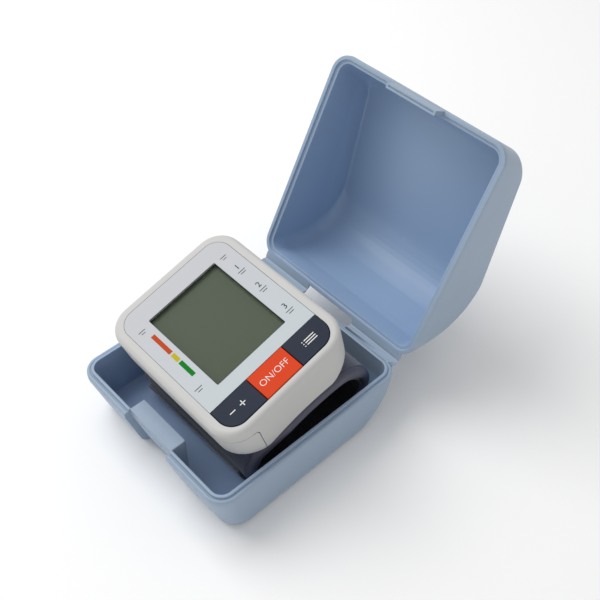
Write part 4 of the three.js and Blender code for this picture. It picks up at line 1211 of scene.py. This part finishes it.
def makeStrap(outline, normals):
    # follows the roll from its underside up its front
    low, high = (Vector(corner) * 1000 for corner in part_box("cuff_strap"))
    count = len(outline)
    under = [i for i in range(count) if outline[i].y < strap["underside"]]
    index = min(under, key=lambda i: (abs(outline[i].x - strap["start"]), outline[i].y))
    direction = -1 if outline[(index + 1) % count].x > outline[index].x else 1
    picked = []
    while outline[index % count].y < high.z - strap["endDrop"] and len(picked) < count:
        picked.append(index % count)
        index += direction

    def strapSection(i):
        end = min(1.0, (len(picked) - 1 - i) / strap["tipRows"], (i + 1) / strap["rootRows"])
        ease = math.sqrt(max(1 - (1 - end) ** 2, strap["leastEase"]))
        middle = (low.x + high.x) / 2
        half = (high.x - low.x) / 2 - strap["tipNarrowing"] * (1 - ease)
        inside = -strap["lift"]
        return sandwichProfile(middle - half, middle + half, inside - strap["thickness"], inside,
                               strap["edge"], 0, strap["hem"])
    loop, away = ([row[i] for i in picked] for row in (outline, normals))
    sewBand("cuffStrap", loop, away, strapSection, False, "strapLoops", "cuff_strap")


cuffOutline = rolledOutline("cuff_cover")
cuffNormals = inwardNormals(cuffOutline)
makeCuffCloth(cuffOutline, cuffNormals)
makeStrap(cuffOutline, cuffNormals)
print("cuff modelled")


# Pieces that keep the solid's own shape

carried = {
    "housing": ["rear_housing"],
    "board": ["circuit_board"],
    "cell": ["battery_left", "battery_right"],
    "greyRubber": ["lcd_connector", "keypad_membrane", "air_tube", "cuff_bladder"],
    "blackPlastic": ["lcd_holder", "processor_chip", "buzzer", "pressure_sensor", "air_pump_head",
                     "cuff_nozzle", "battery_holder", "cuff_clip_plate", "cuff_stiffener"],
    "steel": ["air_pump_motor", "release_valve", "battery_spring_left", "battery_spring_right",
              "battery_contact_bar", *(f"housing_screw_{number}" for number in (1, 2, 3, 4))],
}
for finish, kept in carried.items():
    for node in kept:
        dress(nodes[node], finish)
print("carried pieces finished:", sum(len(kept) for kept in carried.values()))


# Floor, backdrop and light

studio = {
    "floorSize": 6, "floorDrop": 0.0002, "floorColor": (0.95, 0.95, 0.95), "skyStrength": 0.62,
    "lampPower": 7.0, "lampSize": 0.8, "lampPlace": (-0.55, -0.15, 0.9),
}


def makeFloor():
    clearSelection()
    bpy.ops.mesh.primitive_plane_add(size=studio["floorSize"], location=(0, 0, -studio["floorDrop"]))
    floor = bpy.context.object
    floor.name = "paleFloor"
    paper = Finish("palePaper")
    paper.shade(Base_Color=studio["floorColor"], Roughness=0.9, Specular_IOR_Level=0.1)
    floor.data.materials.append(paper.material)


def makeSky():
    # white where the camera sees it, dimmer as light on the object
    world = bpy.data.worlds.new("paleRoom")
    bpy.context.scene.world = world
    world.use_nodes = True
    tree = world.node_tree
    background = tree.nodes["Background"]
    path = tree.nodes.new("ShaderNodeLightPath")
    strength = tree.nodes.new("ShaderNodeMapRange")
    strength.inputs["To Min"].default_value = studio["skyStrength"]
    strength.inputs["To Max"].default_value = 1
    tree.links.new(path.outputs["Is Camera Ray"], strength.inputs["Value"])
    tree.links.new(strength.outputs[0], background.inputs["Strength"])
    background.inputs["Color"].default_value = (1, 1, 1, 1)
    bpy.context.scene.view_settings.view_transform = "Standard"


def makeLamp():
    clearSelection()
    bpy.ops.object.light_add(type="AREA", location=studio["lampPlace"])
    lamp = bpy.context.object
    lamp.data.energy = studio["lampPower"]
    lamp.data.size = studio["lampSize"]
    lamp.rotation_euler = (-Vector(studio["lampPlace"])).to_track_quat("-Z", "Y").to_euler()


makeFloor()
makeSky()
makeLamp()
clearSelection()

print("scene ready")
